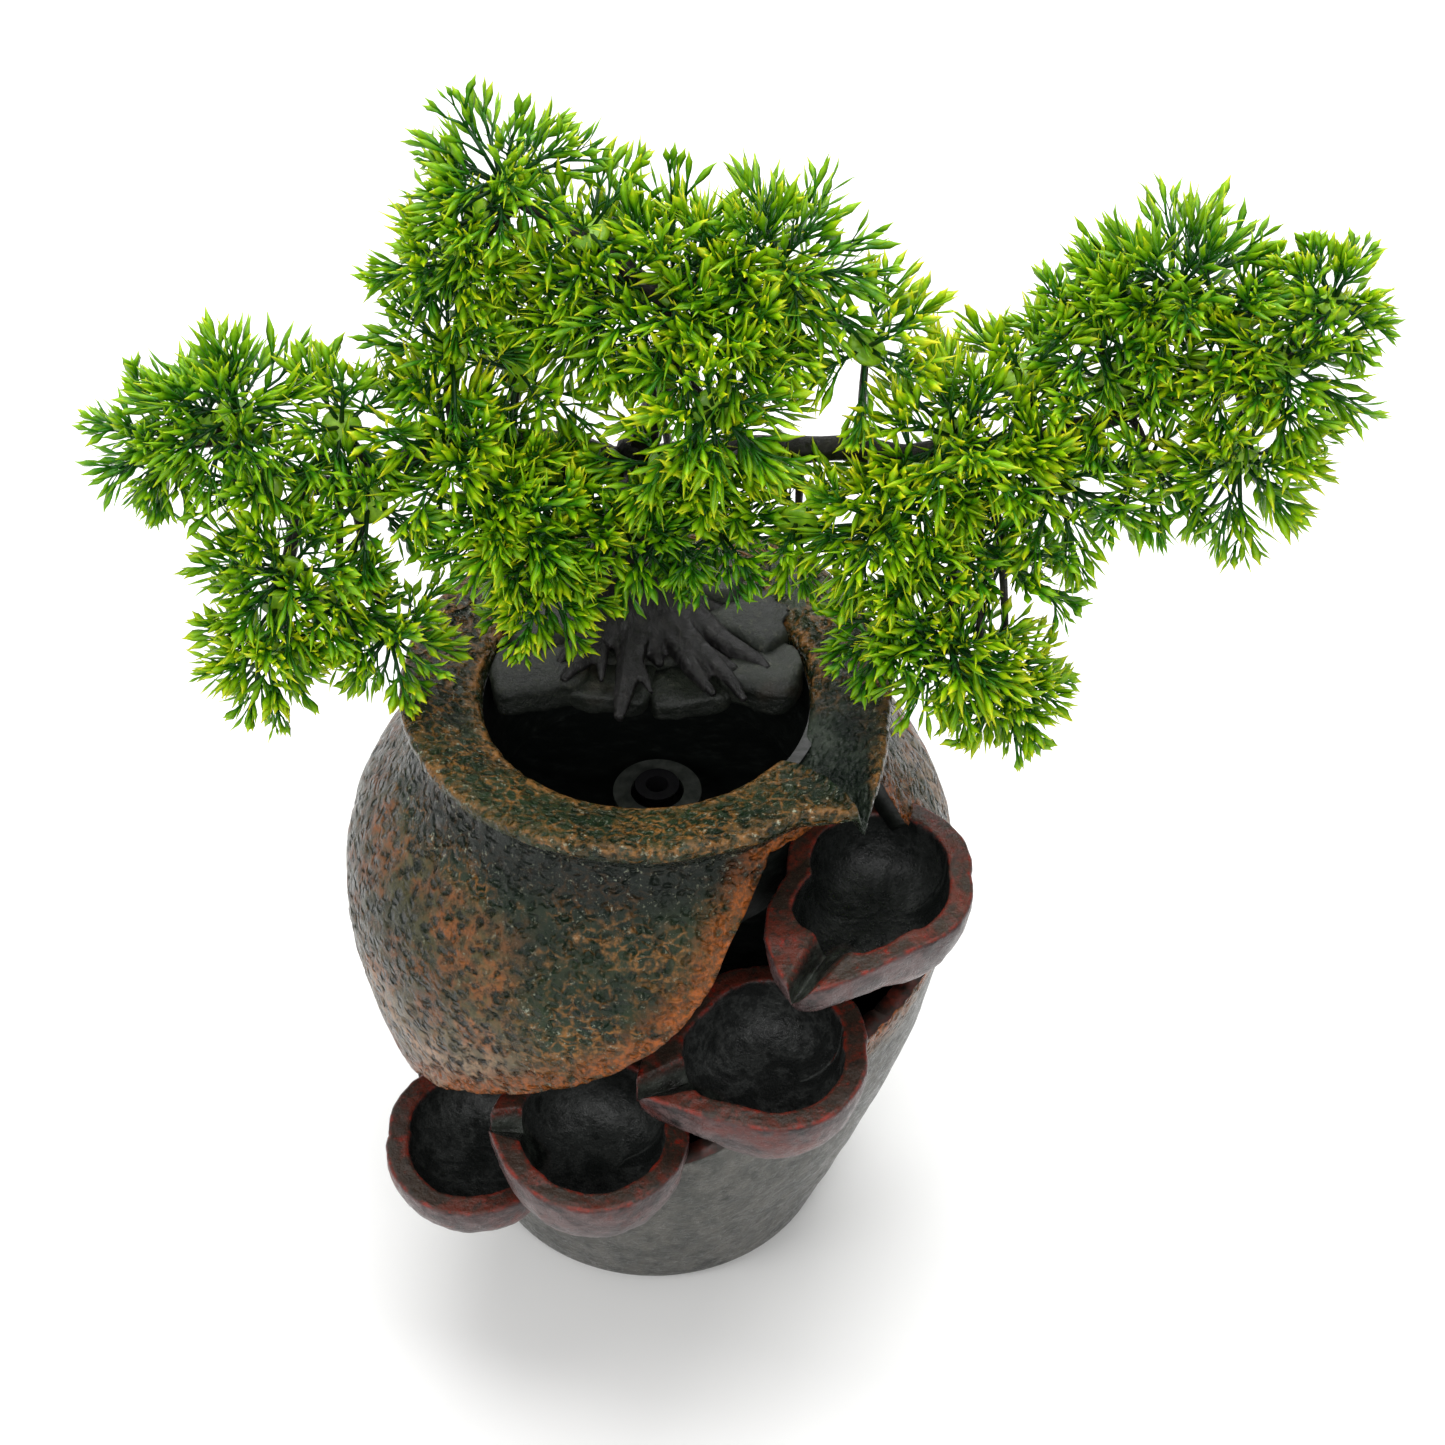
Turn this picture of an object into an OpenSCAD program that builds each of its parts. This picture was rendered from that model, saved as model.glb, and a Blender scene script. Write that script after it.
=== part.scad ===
// Tabletop water fountain: a resin jar cut away at its front right, where four bowls
// step down from the pouring lip, with a small pump inside and an artificial bonsai.
// Origin: centre of the foot, on the surface it stands on. +Z up, -Y is the front.

/* [Jar] */
// Radius of the foot
foot_r = 62.4; // [58:0.2:66]
// Largest radius of the jar
belly_r = 104.6; // [100:0.2:108]
// Height of the largest radius
belly_z = 157; // [150:1:162]
// Radius of the neck
neck_r = 74; // [72:0.5:76]
// Height of the neck
neck_z = 229; // [227:0.5:231]
// Outer radius of the rolled rim
rim_r = 81; // [79:0.5:83]
// Height of the rim's crest
rim_z = 244; // [242:0.5:246]
// Thickness of the cast wall
wall = 6; // [5:0.5:7]

/* [Pool] */
// Inner radius of the mouth and of the pool below it
pool_r = 54; // [52:0.5:56]
// Height of the pool's floor
pool_floor = 182; // [180:1:186]
// Thickness of the basin's wall and floor
basin_wall = 4; // [3:0.5:5]
// Offset of the water outlet to the right of the axis
outlet_x = 3; // [0:1:4]

/* [Bowls] */
// Half width of a bowl across its rim
bowl_r = 30.5; // [29:0.5:31]
// Extra depth of a bowl, front to back
bowl_stretch = 9; // [6:1:10]
// Width of the flat rim of a bowl
bowl_rim = 8; // [7:0.5:9]
// Depth of a bowl outside
bowl_depth = 36; // [32:1:37]
// Thickness of a bowl's bottom
bowl_bottom = 13; // [10:1:15]

/* [Tree] */
// Distance of the trunk behind the axis
trunk_y = 40; // [38:1:42]
// Radius of the trunk above the roots
trunk_r = 11; // [9:0.5:12]
// Radius of the branches at the trunk
branch_r = 4.5; // [3.5:0.5:5]

/* [Pump] */
// Width of the pump
pump_w = 40; // [38:1:42]
// Height of the pump
pump_h = 34; // [32:1:36]
// Inner radius of the water tube
tube_r = 6; // [5.9:0.1:6.2]
// Width of the access opening in the back
door_w = 64; // [60:1:68]
// Height of the access opening in the back
door_h = 56; // [52:1:58]

/* [Hidden] */
$fn = 48;
eps = 0.01;
gap = 0.4;
big = 400;

// Foot
pad_h = 2;
pad_r = 46;
floor_top = pad_h + wall;

// Rim: thickness of its rolled edge, and the height of its inner edge
rim_edge = 2.6;
rim_inner_z = rim_z - 4;
rim_under_z = rim_z - 11;

// Pouring lip, seen from above: its tip, and where its two sides leave the rim
lip_tip = [70.5, -60];
lip_left = [44, -46];
lip_right = [81, -10];
lip_wall = 6;
lip_floor = rim_z - 9;

// Bowls: centre of each rim, its height, the direction and reach of its spout, its depth
bowl_x = [76.5, 41.5, -17.6, -60.5];
bowl_y = [-47, -80.5, -88, -65];
bowl_z = [200, 153, 121, 88];
bowl_extra = [0, 1, 1, 0];
spout_dir = [-118, -156, 178, 0];
spout_reach = [59, 48, 36, 0];
bowl_drop = [bowl_depth, bowl_depth, bowl_depth, bowl_depth - 7];
spout_half = [21, 18, 16, 0];
spout_h = 17;
channel_half = 11;
channel_h = 8;

// Pump: it stands on its cups, with the rotor's axis along Y and the outlet on top
cup_h = 4;
pump_z0 = floor_top + cup_h;
pump_top = pump_z0 + pump_h;
pump_axis_z = pump_z0 + 15;
chamber_front = -7;
chamber_back = 8;
pump_back = 36;
chamber_r = 13;
rotor_r = 7;
rotor_back = 28;
shaft_r = 1;
cover_t = 7;
cover_face = 2.4;
cover_y = chamber_front - cover_t - gap;
shaft_length = 40;
stator = [26, 24, 7];
dial_r = 8.5;
outlet_top = pump_top + 9;
stub_r = tube_r - 0.1;
bore_r = 3.8;

// Light ring on the pool's floor
ring_r = 15;
ring_hole = 9;
ring_h = 7;
lens_h = 2;
led_count = 6;

// Access opening
door_z = 50;
seal = 2.5;

// Cable outlet
grommet_dir = 128;
grommet_z = 17;
grommet_bore = 3.2;
grommet_hole = 5;
grommet_back = 58;
grommet_lip = 71.2;

// Rock ledge and the tree's socket
ledge_top = 236;
ledge_wall_y = 20;
rock_top = ledge_top + 4;
peg_r = 7;
peg_z0 = 204;
trunk_z0 = 236.4;
trunk_foot = [-2, trunk_y];
foot_flare = trunk_r + 3;

// Roots: direction, reach, and how far the tip falls
roots = [[-95, 50, 2], [-58, 46, 1], [-28, 44, 1], [8, 24, 0], [-128, 42, 1], [150, 18, 0]];
root_twist = 8;
root_r = 6;
root_tip_r = 2.2;

// A cubic curve between two points, with two handles
function curve(a, b, c, d, n) = [for (i = [0:n]) let (t = i / n, s = 1 - t)
    s * s * s * a + 3 * s * s * t * b + 3 * s * t * t * c + t * t * t * d];

// Half outline of the jar from the foot to the neck, drawn in by a distance
function jar_side(inset) = concat(
    curve([foot_r, pad_h], [foot_r + 15, 45], [belly_r, 112], [belly_r, belly_z], 8),
    [for (p = curve([belly_r, belly_z], [belly_r, 196], [neck_r + 6, 204], [neck_r, neck_z], 7))
        if (p[1] > belly_z) p]) - [for (i = [0:15]) [inset, 0]];

module jar_solid(inset = 0) {
    rotate_extrude() polygon(concat([[0, pad_h]], jar_side(inset), [[0, neck_z]]));
}

// Flat foot and pad
module foot_pad() {
    color("dimgray") cylinder(r = pad_r, h = pad_h);
}

// Outline of the rolled rim: flares from the neck, rolls over and slopes in to the pool
module rim_outline() {
    edge_z = rim_z - rim_edge;
    polygon(concat(
        [[neck_r - wall, neck_z - 0.5], [neck_r, neck_z - 0.5]],
        curve([neck_r, neck_z], [neck_r, neck_z + 6], [rim_r - 3, edge_z - 6],
            [rim_r, edge_z - rim_edge], 4),
        [for (a = [30:30:90]) [rim_r - rim_edge + rim_edge * cos(a), edge_z + rim_edge * sin(a)]],
        [[pool_r + 4, rim_inner_z + 0.5], [pool_r, rim_inner_z - 3], [pool_r, rim_under_z],
         [pool_r + basin_wall + 2, rim_under_z]]));
}

// Pouring lip: a V that leaves the rim and reaches past it, with a channel from the pool
module lip_body() {
    translate([0, 0, rim_under_z]) linear_extrude(rim_z - rim_under_z)
        polygon([lip_left, lip_tip - [3, -1], lip_tip, lip_tip + [2.5, 3], lip_right + [-2, -34],
            lip_right, [60, -5]]);
}

module lip_channel() {
    translate([0, 0, lip_floor]) linear_extrude(big)
        polygon([[44, -22], lip_left + [lip_wall + 1, lip_wall + 4], lip_tip + [-2, 3],
            lip_tip + [-0.5, -3], lip_tip + [0.8, 3.5], lip_right + [-lip_wall - 2, -32],
            lip_right + [-lip_wall - 2, 0], [48, 0]]);
}

// The cut-away, drawn on the front and kept in front of a plane that leans back at the right
module cut_away() {
    intersection() {
        rotate([90, 0, 0]) translate([0, 0, 14]) linear_extrude(big) polygon(concat(
            [[-98, 98], [-84, 107], [-70, 121]],
            curve([-62, 130], [-30, 158], [14, 172], [27, 204], 5),
            [[33, 212], [40.5, neck_z - 3], [120, neck_z - 3], [120, 150], [80, 149], [62, 146],
             [50, 138], [18, 114], [-10, 104], [-45, 88], [-75, 78], [-98, 80]]));
        union() {
            translate([-big - 30, -big, 0]) cube([big, 2 * big, big]);
            rotate([90, 0, 90]) translate([0, 0, -31]) linear_extrude(big)
                polygon([[-big, 0], [-60, 0], [-60, 120], [-14, neck_z], [-14, big], [-big, big]]);
        }
    }
}

module door_plug(grow, y0 = 0) {
    translate([-door_w / 2 - grow, y0, door_z - door_h / 2 - grow])
        cube([door_w + 2 * grow, big, door_h + 2 * grow]);
}

module grommet_place() {
    translate([0, 0, grommet_z]) rotate([0, 0, grommet_dir]) rotate([0, 90, 0]) children();
}

module jar_shell() {
    color([0.25, 0.27, 0.2]) difference() {
        union() {
            difference() {
                jar_solid();
                intersection() {
                    jar_solid(wall);
                    translate([0, 0, floor_top]) cylinder(r = big, h = big);
                }
                cut_away();
            }
            rotate_extrude() rim_outline();
            difference() {
                lip_body();
                cylinder(r = neck_r - wall, h = big);
            }
        }
        lip_channel();
        door_plug(0);
        grommet_place() cylinder(r = grommet_hole, h = big);
        for (i = [0:3]) bowl_outer(i, gap);
    }
}

// Basin of the top pool, with the hole of the water outlet
module pool_basin() {
    color([0.06, 0.07, 0.06]) difference() {
        translate([0, 0, pool_floor - basin_wall])
            cylinder(r = pool_r + basin_wall, h = rim_under_z - pool_floor + basin_wall);
        translate([0, 0, pool_floor]) cylinder(r = pool_r, h = big);
        translate([outlet_x, 0, 0]) cylinder(r = tube_r + 0.3, h = big);
    }
}

// One rock: a block with five to eight slanted sides
module rock(x, y, z, w, d, h, turn, sides) {
    translate([x, y, z]) rotate(turn) linear_extrude(h)
        polygon([for (i = [0:sides - 1]) let (a = 360 * (i + 0.5) / sides)
            [w / 2 * cos(a), d / 2 * sin(a)] * (i % 2 == 0 ? 1 : 0.88)]);
}

// Where a root ends, in plan
function root_end(k) = let (turn = roots[k][0] + root_twist)
    trunk_foot + roots[k][1] * [cos(turn), sin(turn)];

// Room above the ledge for the trunk's foot and for each root
module root_room() {
    translate([trunk_foot[0], trunk_foot[1], trunk_z0 - gap]) {
        cylinder(r = foot_flare + 2, h = big);
        for (k = [0:len(roots) - 1])
            let (run = root_end(k) - trunk_foot, way = run / norm(run), side = [-way[1], way[0]],
                end = run + 4 * way, half = root_tip_r + 2.5)
                linear_extrude(big) polygon([side * (foot_flare - 1), end + side * half,
                    end - side * half, -side * (foot_flare - 1)]);
    }
}

module rock_ledge() {
    r = pool_r - gap;
    color([0.3, 0.32, 0.27]) difference() {
        union() {
            intersection() {
                cylinder(r = r, h = big);
                union() {
                    translate([-r, ledge_wall_y, pool_floor]) cube([2 * r, 6, ledge_top - pool_floor]);
                    translate([-r, 0, ledge_top - 9]) cube([2 * r, r, 9]);
                    for (x = [-36, 44])
                        rock(x, 12, ledge_top - 8, 30, 21, rock_top - ledge_top + 8, x / 4, 7);
                    for (x = [-10, 17]) rock(x, 10, ledge_top - 8, 30, 17, 8.5, x / 2, 6);
                    for (i = [0:5]) let (a = 16 + 29.6 * i) rock(45 * cos(a), 45 * sin(a), ledge_top - 5,
                        26, 19, 11 + 3 * (i % 3), a + 90, 7);
                }
            }
            translate([0, trunk_y, peg_z0 - 4]) cylinder(r = peg_r + 5, h = ledge_top - peg_z0);
        }
        translate([0, trunk_y, peg_z0]) cylinder(r = peg_r + 0.35, h = big);
        root_room();
    }
}

// Inner wall behind the bowls, which turns the splashes back into the cascade
module splash_board() {
    color([0.08, 0.08, 0.08]) intersection() {
        jar_solid(wall + gap);
        translate([-big / 2, -13, 58]) cube([big, 4, pool_floor - basin_wall - gap - 58]);
    }
}

// A round cup, drawn twice and joined, makes a bowl that is deeper than it is wide
module cup(r, depth, top) {
    rotate_extrude() polygon(concat([[0, top], [r, top]],
        [for (a = [0:15:90]) [r * pow(cos(a), 0.8), -depth * sin(a)]]));
}

module long_cup(r, depth, top) {
    for (side = [-1, 1]) translate([0, side * bowl_stretch / 2, 0]) cup(r, depth, top);
}

module bowl_place(i) {
    translate([bowl_x[i], bowl_y[i], bowl_z[i]]) children();
}

// Plan of a spout: a wedge with a blunt tip
module wedge(half, reach, tip) {
    polygon([[0, -half], [reach - 2.5, -tip - 1], [reach, -tip], [reach, tip], [reach - 2.5, tip + 1],
        [0, half]]);
}

module bowl_outer(i, grow = 0) {
    bowl_place(i) {
        long_cup(bowl_r + bowl_extra[i] + grow, bowl_drop[i] + grow, grow);
        if (spout_reach[i] > 0)
            rotate(spout_dir[i]) translate([0, 0, -spout_h - grow]) linear_extrude(spout_h + 2 * grow)
                wedge(spout_half[i] + grow, spout_reach[i] + grow, 2);
    }
}

// Room that the basin needs beside the top bowl
module basin_room() {
    translate([0, 0, pool_floor - basin_wall - gap]) cylinder(r = pool_r + basin_wall + gap, h = big);
}

module bowl(i) {
    color([0.4, 0.16, 0.12]) difference() {
        bowl_outer(i);
        bowl_place(i) {
            long_cup(bowl_r + bowl_extra[i] - bowl_rim, bowl_drop[i] - bowl_bottom, big);
            if (spout_reach[i] > 0)
                rotate(spout_dir[i]) translate([0, 0, -channel_h]) linear_extrude(big)
                    wedge(channel_half, spout_reach[i] + 1, 0.5);
        }
        basin_room();
        for (j = [0:1:i - 1]) bowl_outer(j, gap);
    }
}

module bowl_1() { bowl(0); }
module bowl_2() { bowl(1); }
module bowl_3() { bowl(2); }
module bowl_4() { bowl(3); }

// Pool light: a ring round the outlet, its frosted lens and the lamps under it
module at_outlet(z) { translate([outlet_x, 0, z]) children(); }

module led_places() {
    for (i = [0:led_count - 1]) rotate(360 * i / led_count)
        translate([(ring_r + ring_hole) / 2, 0, 0]) children();
}

module light_ring_body() {
    color("black") at_outlet(pool_floor) difference() {
        cylinder(r = ring_r, h = ring_h);
        translate([0, 0, -1]) cylinder(r = ring_hole, h = big);
        translate([0, 0, 2]) led_places() cylinder(r = 2, h = big);
    }
}

module light_ring_lens() {
    color([0.8, 0.82, 0.8]) at_outlet(pool_floor + ring_h) difference() {
        cylinder(r = ring_r, h = lens_h);
        translate([0, 0, -1]) cylinder(r = ring_hole, h = big);
    }
}

module leds() {
    color("white") at_outlet(pool_floor + 2) led_places() cylinder(r = 1.9, h = 4);
}

module water_nozzle() {
    color([0.1, 0.1, 0.1]) at_outlet(0) difference() {
        union() {
            translate([0, 0, pool_floor - 18]) cylinder(r = stub_r, h = 27);
            translate([0, 0, pool_floor + 9 - eps]) cylinder(r1 = stub_r, r2 = 7.5, h = 3);
            translate([0, 0, pool_floor - basin_wall - 2.2]) cylinder(r = 9, h = 2.2);
        }
        translate([0, 0, pool_floor - 19]) cylinder(r = bore_r, h = big);
    }
}

module supply_tube() {
    color([0.85, 0.87, 0.86]) at_outlet(pump_top + 1) difference() {
        cylinder(r = tube_r + 1.8, h = pool_floor - basin_wall - 3 - pump_top - 1);
        translate([0, 0, -1]) cylinder(r = tube_r, h = big);
    }
}

// Pump
module along_y(y) { translate([outlet_x, y, pump_axis_z]) rotate([-90, 0, 0]) children(); }

module pump_housing() {
    color([0.12, 0.12, 0.13]) difference() {
        union() {
            translate([outlet_x - pump_w / 2, chamber_front, pump_z0])
                cube([pump_w, pump_back - chamber_front, pump_h]);
            at_outlet(pump_top - 1) cylinder(r = stub_r, h = outlet_top - pump_top + 1);
        }
        along_y(chamber_front - 1) cylinder(r = chamber_r, h = chamber_back - chamber_front + 1);
        along_y(chamber_back - 1) cylinder(r = rotor_r + 0.8, h = rotor_back - chamber_back + 1);
        along_y(rotor_back - 1) cylinder(r = 3.5, h = 5);
        at_outlet(pump_axis_z) cylinder(r = bore_r, h = big);
        motor_space(0);
    }
}

// The stator sits over the rotor, cast in, and comes out flush with the back
module motor_space(shrink) {
    translate([outlet_x - stator[0] / 2, pump_back - stator[1], pump_axis_z + 9.5] + [1, 1, 1] * shrink)
        cube([stator[0] - 2 * shrink, stator[1] - shrink, stator[2] - 2 * shrink]);
}

module motor_core() {
    color("silver") motor_space(0.1);
}

module impeller_shaft() {
    color("gainsboro") along_y(chamber_front - 3) cylinder(r = shaft_r, h = shaft_length);
}

module bush(y, outer, h) {
    color("darkslategray") along_y(y) difference() {
        cylinder(r = outer, h = h);
        translate([0, 0, -1]) cylinder(r = shaft_r + 0.04, h = big);
    }
}

module rear_bush() { bush(rotor_back, 3.45, 4); }
module front_bush() { bush(chamber_front - 5, 3.45, 4); }

module suction_cups() {
    color([0.2, 0.2, 0.2]) for (x = [-13, 13], y = [0, 28])
        translate([outlet_x + x, y, floor_top]) cylinder(r1 = 6, r2 = 3, h = cup_h);
}

module impeller() {
    color("white") along_y(0) difference() {
        union() {
            translate([0, 0, chamber_back + 0.5])
                cylinder(r = rotor_r, h = rotor_back - chamber_back - 1.5);
            translate([0, 0, -4]) cylinder(r = 3, h = chamber_back + 5);
            for (i = [0:5]) rotate(60 * i) translate([0, -0.8, -4]) cube([11, 1.6, 10]);
        }
        translate([0, 0, -10]) cylinder(r = shaft_r + 0.08, h = big);
    }
}

// Slotted intake cover with its flow dial
module pump_cover() {
    color([0.1, 0.1, 0.11]) difference() {
        translate([outlet_x - pump_w / 2, cover_y, pump_z0]) cube([pump_w, cover_t, pump_h]);
        translate([outlet_x - pump_w / 2 + 3, cover_y + cover_face, pump_z0 + 3])
            cube([pump_w - 6, big, pump_h - 6]);
        for (i = [-4:4]) translate([outlet_x + 4 * i - 0.9, cover_y - 1, pump_z0 + 24])
            cube([1.8, big, 7]);
        along_y(cover_y - 1) cylinder(r = 2.6, h = big);
    }
    color([0.1, 0.1, 0.11]) along_y(cover_y + cover_face - eps) difference() {
        cylinder(r = 5.5, h = cover_t - cover_face);
        translate([0, 0, -1]) cylinder(r = 3.5, h = big);
    }
}

module flow_dial() {
    color([0.25, 0.25, 0.26]) along_y(cover_y) {
        translate([0, 0, -3.3]) cylinder(r = dial_r, h = 3);
        translate([0, 0, -1]) cylinder(r = 2.3, h = 2.6);
        translate([-1.2, 0.5 - dial_r, -5]) cube([2.4, 2 * dial_r - 1, 2]);
    }
}

// Access cover: a panel of the jar's own wall, a seal round it and a pull
module wall_slice() {
    difference() {
        jar_solid();
        jar_solid(wall);
    }
}

module pump_door() {
    color([0.28, 0.3, 0.26]) intersection() {
        wall_slice();
        door_plug(-seal - 0.1);
    }
}

module door_gasket() {
    color([0.15, 0.15, 0.15]) difference() {
        intersection() {
            difference() {
                jar_solid(0.8);
                jar_solid(wall - 0.8);
            }
            door_plug(-0.5);
        }
        door_plug(-seal, -1);
    }
}

module door_pull() {
    color([0.28, 0.3, 0.26]) translate([0, 0, door_z + 12]) rotate([-90, 0, 0]) difference() {
        cylinder(r1 = 5, r2 = 6.5, h = 91);
        translate([0, 0, -1]) cylinder(r = big, h = 83.6);
    }
}

// Grommet: its plug goes through the wall and its flange lies on the jar's outside
module cable_grommet() {
    color([0.1, 0.1, 0.1]) difference() {
        union() {
            grommet_place() translate([0, 0, grommet_back])
                cylinder(r = grommet_hole - 0.05, h = grommet_lip - grommet_back - 1);
            difference() {
                grommet_place() translate([0, 0, grommet_back + 5])
                    cylinder(r = grommet_hole + 1.5, h = grommet_lip - grommet_back - 5);
                jar_solid(-0.05);
            }
        }
        grommet_place() cylinder(r = grommet_bore, h = big);
    }
}

// Tree
module tree_peg() {
    color("black") translate([0, trunk_y, peg_z0 + 0.5]) cylinder(r = peg_r, h = trunk_z0 + 4 - peg_z0);
}

// A round limb between two points, thick at the first
module limb(a, b, ra, rb) {
    hull() {
        translate(a) sphere(ra, $fn = 10);
        translate(b) sphere(rb, $fn = 10);
    }
}

module path(points, ra, rb) {
    n = len(points) - 1;
    for (i = [0:n - 1])
        limb(points[i], points[i + 1], ra + (rb - ra) * i / n, ra + (rb - ra) * (i + 1) / n);
}

fork = [-3, trunk_y + 4, 300];
crown = [8, trunk_y, 345];

module root(k) {
    root_z = trunk_z0 + 4.6;
    start = [trunk_foot[0], trunk_foot[1], 0];
    way = [cos(roots[k][0]), sin(roots[k][0]), 0];
    path([start + 5 * way + [0, 0, root_z + 14], start + 0.45 * roots[k][1] * way + [0, 0, root_z + 3],
        [root_end(k)[0], root_end(k)[1], root_z - roots[k][2]]], root_r, root_tip_r);
}

module trunk() {
    color([0.06, 0.06, 0.06]) difference() {
        union() {
            path([[trunk_foot[0], trunk_foot[1], trunk_z0 + 8], [-6, trunk_y + 3, 262],
                [-1, trunk_y + 6, 282], fork], foot_flare, trunk_r - 4);
            for (k = [0:len(roots) - 1]) root(k);
        }
        translate([-big / 2, -big / 2, trunk_z0 - big]) cube(big);
        translate([0, trunk_y, 0]) cylinder(r = peg_r + 0.05, h = trunk_z0 + 4.6);
    }
}

// Branches: wires covered in dark plastic, which start at the trunk's fork
branch_paths = [
    [fork + [-7, -1, 1], [-34, 32, 316], [-68, 24, 318], [-100, 16, 312], [-132, 20, 326]],
    [fork + [9, -1, 0], [40, 30, 316], [84, 22, 320], [126, 26, 322], [168, 32, 334], [196, 26, 344]],
    [fork + [1, 0, 9], crown, [2, trunk_y, 372], [-36, trunk_y + 8, 398]]];
branch_tip_r = 2;

module branch(k) { color([0.07, 0.07, 0.06]) path(branch_paths[k], branch_r, branch_tip_r); }
module branch_left() { branch(0); }
module branch_right() { branch(1); }
module branch_top() { branch(2); }

// Foliage: each mass is a few balls joined, and gives way to the masses before it
masses = [
    [[10, 40, 370, 38], [42, 44, 376, 33], [-16, 46, 360, 32], [22, 12, 346, 30]],
    [[-42, 50, 402, 28], [-58, 44, 378, 25]],
    [[-62, 22, 322, 34], [-40, 6, 306, 27]],
    [[-127, 20, 336, 31], [-151, 22, 323, 24]],
    [[-112, -2, 292, 29], [-121, -12, 267, 22], [-82, -6, 268, 22]],
    [[-6, 14, 296, 26], [-32, 4, 279, 21], [24, 10, 298, 22]],
    [[98, 22, 326, 37], [74, 4, 306, 29], [131, 18, 312, 31]],
    [[98, -12, 270, 28], [117, -10, 248, 22], [78, -6, 270, 21]],
    [[166, 44, 366, 33], [141, 40, 354, 25]],
    [[200, 28, 352, 29], [188, 18, 320, 28], [213, 32, 371, 19]]];

module ball(b, grow = 0) {
    translate([b[0], b[1], b[2]]) sphere(b[3] + grow, $fn = 48);
}

// True where a ball reaches into the mass k
function reaches(b, k) = len([for (c = masses[k])
    if (norm([b[0] - c[0], b[1] - c[1], b[2] - c[2]]) < b[3] + c[3] + gap) 1]) > 0;

module mass(k) {
    color([0.3, 0.6, 0.08]) difference() {
        for (b = masses[k]) ball(b);
        for (j = [0:1:k - 1]) for (b = masses[j]) if (reaches(b, k)) ball(b, gap);
    }
}

module foliage_crown() { mass(0); }
module foliage_top_left() { mass(1); }
module foliage_left() { mass(2); }
module foliage_far_left() { mass(3); }
module foliage_low_left() { mass(4); }
module foliage_centre() { mass(5); }
module foliage_right() { mass(6); }
module foliage_low_right() { mass(7); }
module foliage_far_right() { mass(8); }
module foliage_end_right() { mass(9); }

// The nearest point to p on a segment, and on any branch
function on_segment(a, b, p) = a + (b - a) * max(0, min(1, (p - a) * (b - a) / ((b - a) * (b - a))));
function on_branches(p) = let (
    spots = [for (line = branch_paths) for (i = [0:len(line) - 2]) on_segment(line[i], line[i + 1], p)],
    far = [for (q = spots) norm(q - p)]) spots[search(min(far), far)[0]];

// Centre of each sprig of needles: one in each ball of the masses
sprigs = [for (m = masses) for (b = m) [b[0], b[1], b[2]]];
hub_r = 6.5;
hub_t = 2;
twig_r = 1.3;

// A wire from a branch to each sprig
module twigs() {
    color([0.07, 0.07, 0.06]) for (p = sprigs) let (q = on_branches(p), d = p - q)
        translate(q) rotate([0, acos(d[2] / norm(d)), atan2(d[1], d[0])]) cylinder(r = twig_r, h = norm(d));
}

module sprig_hubs() {
    color([0.5, 0.7, 0.1]) for (p = sprigs) translate([p[0], p[1], p[2] - hub_t / 2])
        cylinder(r = hub_r, h = hub_t);
}

foot_pad();
jar_shell();
pool_basin();
rock_ledge();
splash_board();
bowl_1();
bowl_2();
bowl_3();
bowl_4();
light_ring_body();
light_ring_lens();
leds();
water_nozzle();
supply_tube();
pump_housing();
motor_core();
impeller_shaft();
rear_bush();
suction_cups();
pump_cover();
front_bush();
flow_dial();
impeller();
pump_door();
door_gasket();
door_pull();
cable_grommet();
tree_peg();
trunk();
branch_left();
branch_right();
branch_top();
twigs();
sprig_hubs();
foliage_crown();
foliage_top_left();
foliage_left();
foliage_far_left();
foliage_low_left();
foliage_centre();
foliage_right();
foliage_low_right();
foliage_far_right();
foliage_end_right();
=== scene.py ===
"""Tabletop water fountain: the looks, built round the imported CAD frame.

Shapes are worked out in millimetres and turned into metres as each mesh is made.
"""
import math
import random

import bmesh
import bpy
import numpy as np
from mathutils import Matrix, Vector, noise


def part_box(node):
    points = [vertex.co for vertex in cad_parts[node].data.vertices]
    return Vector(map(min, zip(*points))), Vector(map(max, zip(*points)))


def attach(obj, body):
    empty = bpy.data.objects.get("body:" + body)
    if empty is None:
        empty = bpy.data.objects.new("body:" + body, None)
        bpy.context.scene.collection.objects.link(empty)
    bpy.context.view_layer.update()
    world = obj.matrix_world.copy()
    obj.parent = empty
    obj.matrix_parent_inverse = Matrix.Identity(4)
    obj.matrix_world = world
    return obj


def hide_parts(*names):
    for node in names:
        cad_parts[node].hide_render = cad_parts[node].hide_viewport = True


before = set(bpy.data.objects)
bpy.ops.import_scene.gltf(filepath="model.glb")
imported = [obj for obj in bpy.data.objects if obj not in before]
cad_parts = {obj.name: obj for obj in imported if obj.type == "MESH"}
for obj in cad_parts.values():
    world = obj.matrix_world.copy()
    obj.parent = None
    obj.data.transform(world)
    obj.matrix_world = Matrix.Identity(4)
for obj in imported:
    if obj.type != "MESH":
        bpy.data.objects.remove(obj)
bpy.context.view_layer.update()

MM = 0.001
TAU = 2 * math.pi
SEED = 7
rng = random.Random(SEED)
noise.seed_set(SEED)  # or noise_vector would differ from run to run

# ---------------- camera


def new_object(name, data):
    """An object in the scene that shows the given data."""
    made = bpy.data.objects.new(name, data)
    bpy.context.scene.collection.objects.link(made)
    return made


AIM = Vector((0.0251, 0.0006, 0.2222))
VIEW_ELEVATION = math.radians(43.8)
VIEW_DISTANCE = 1.0937
LENS = 82.0
SENSOR = 36


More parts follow.
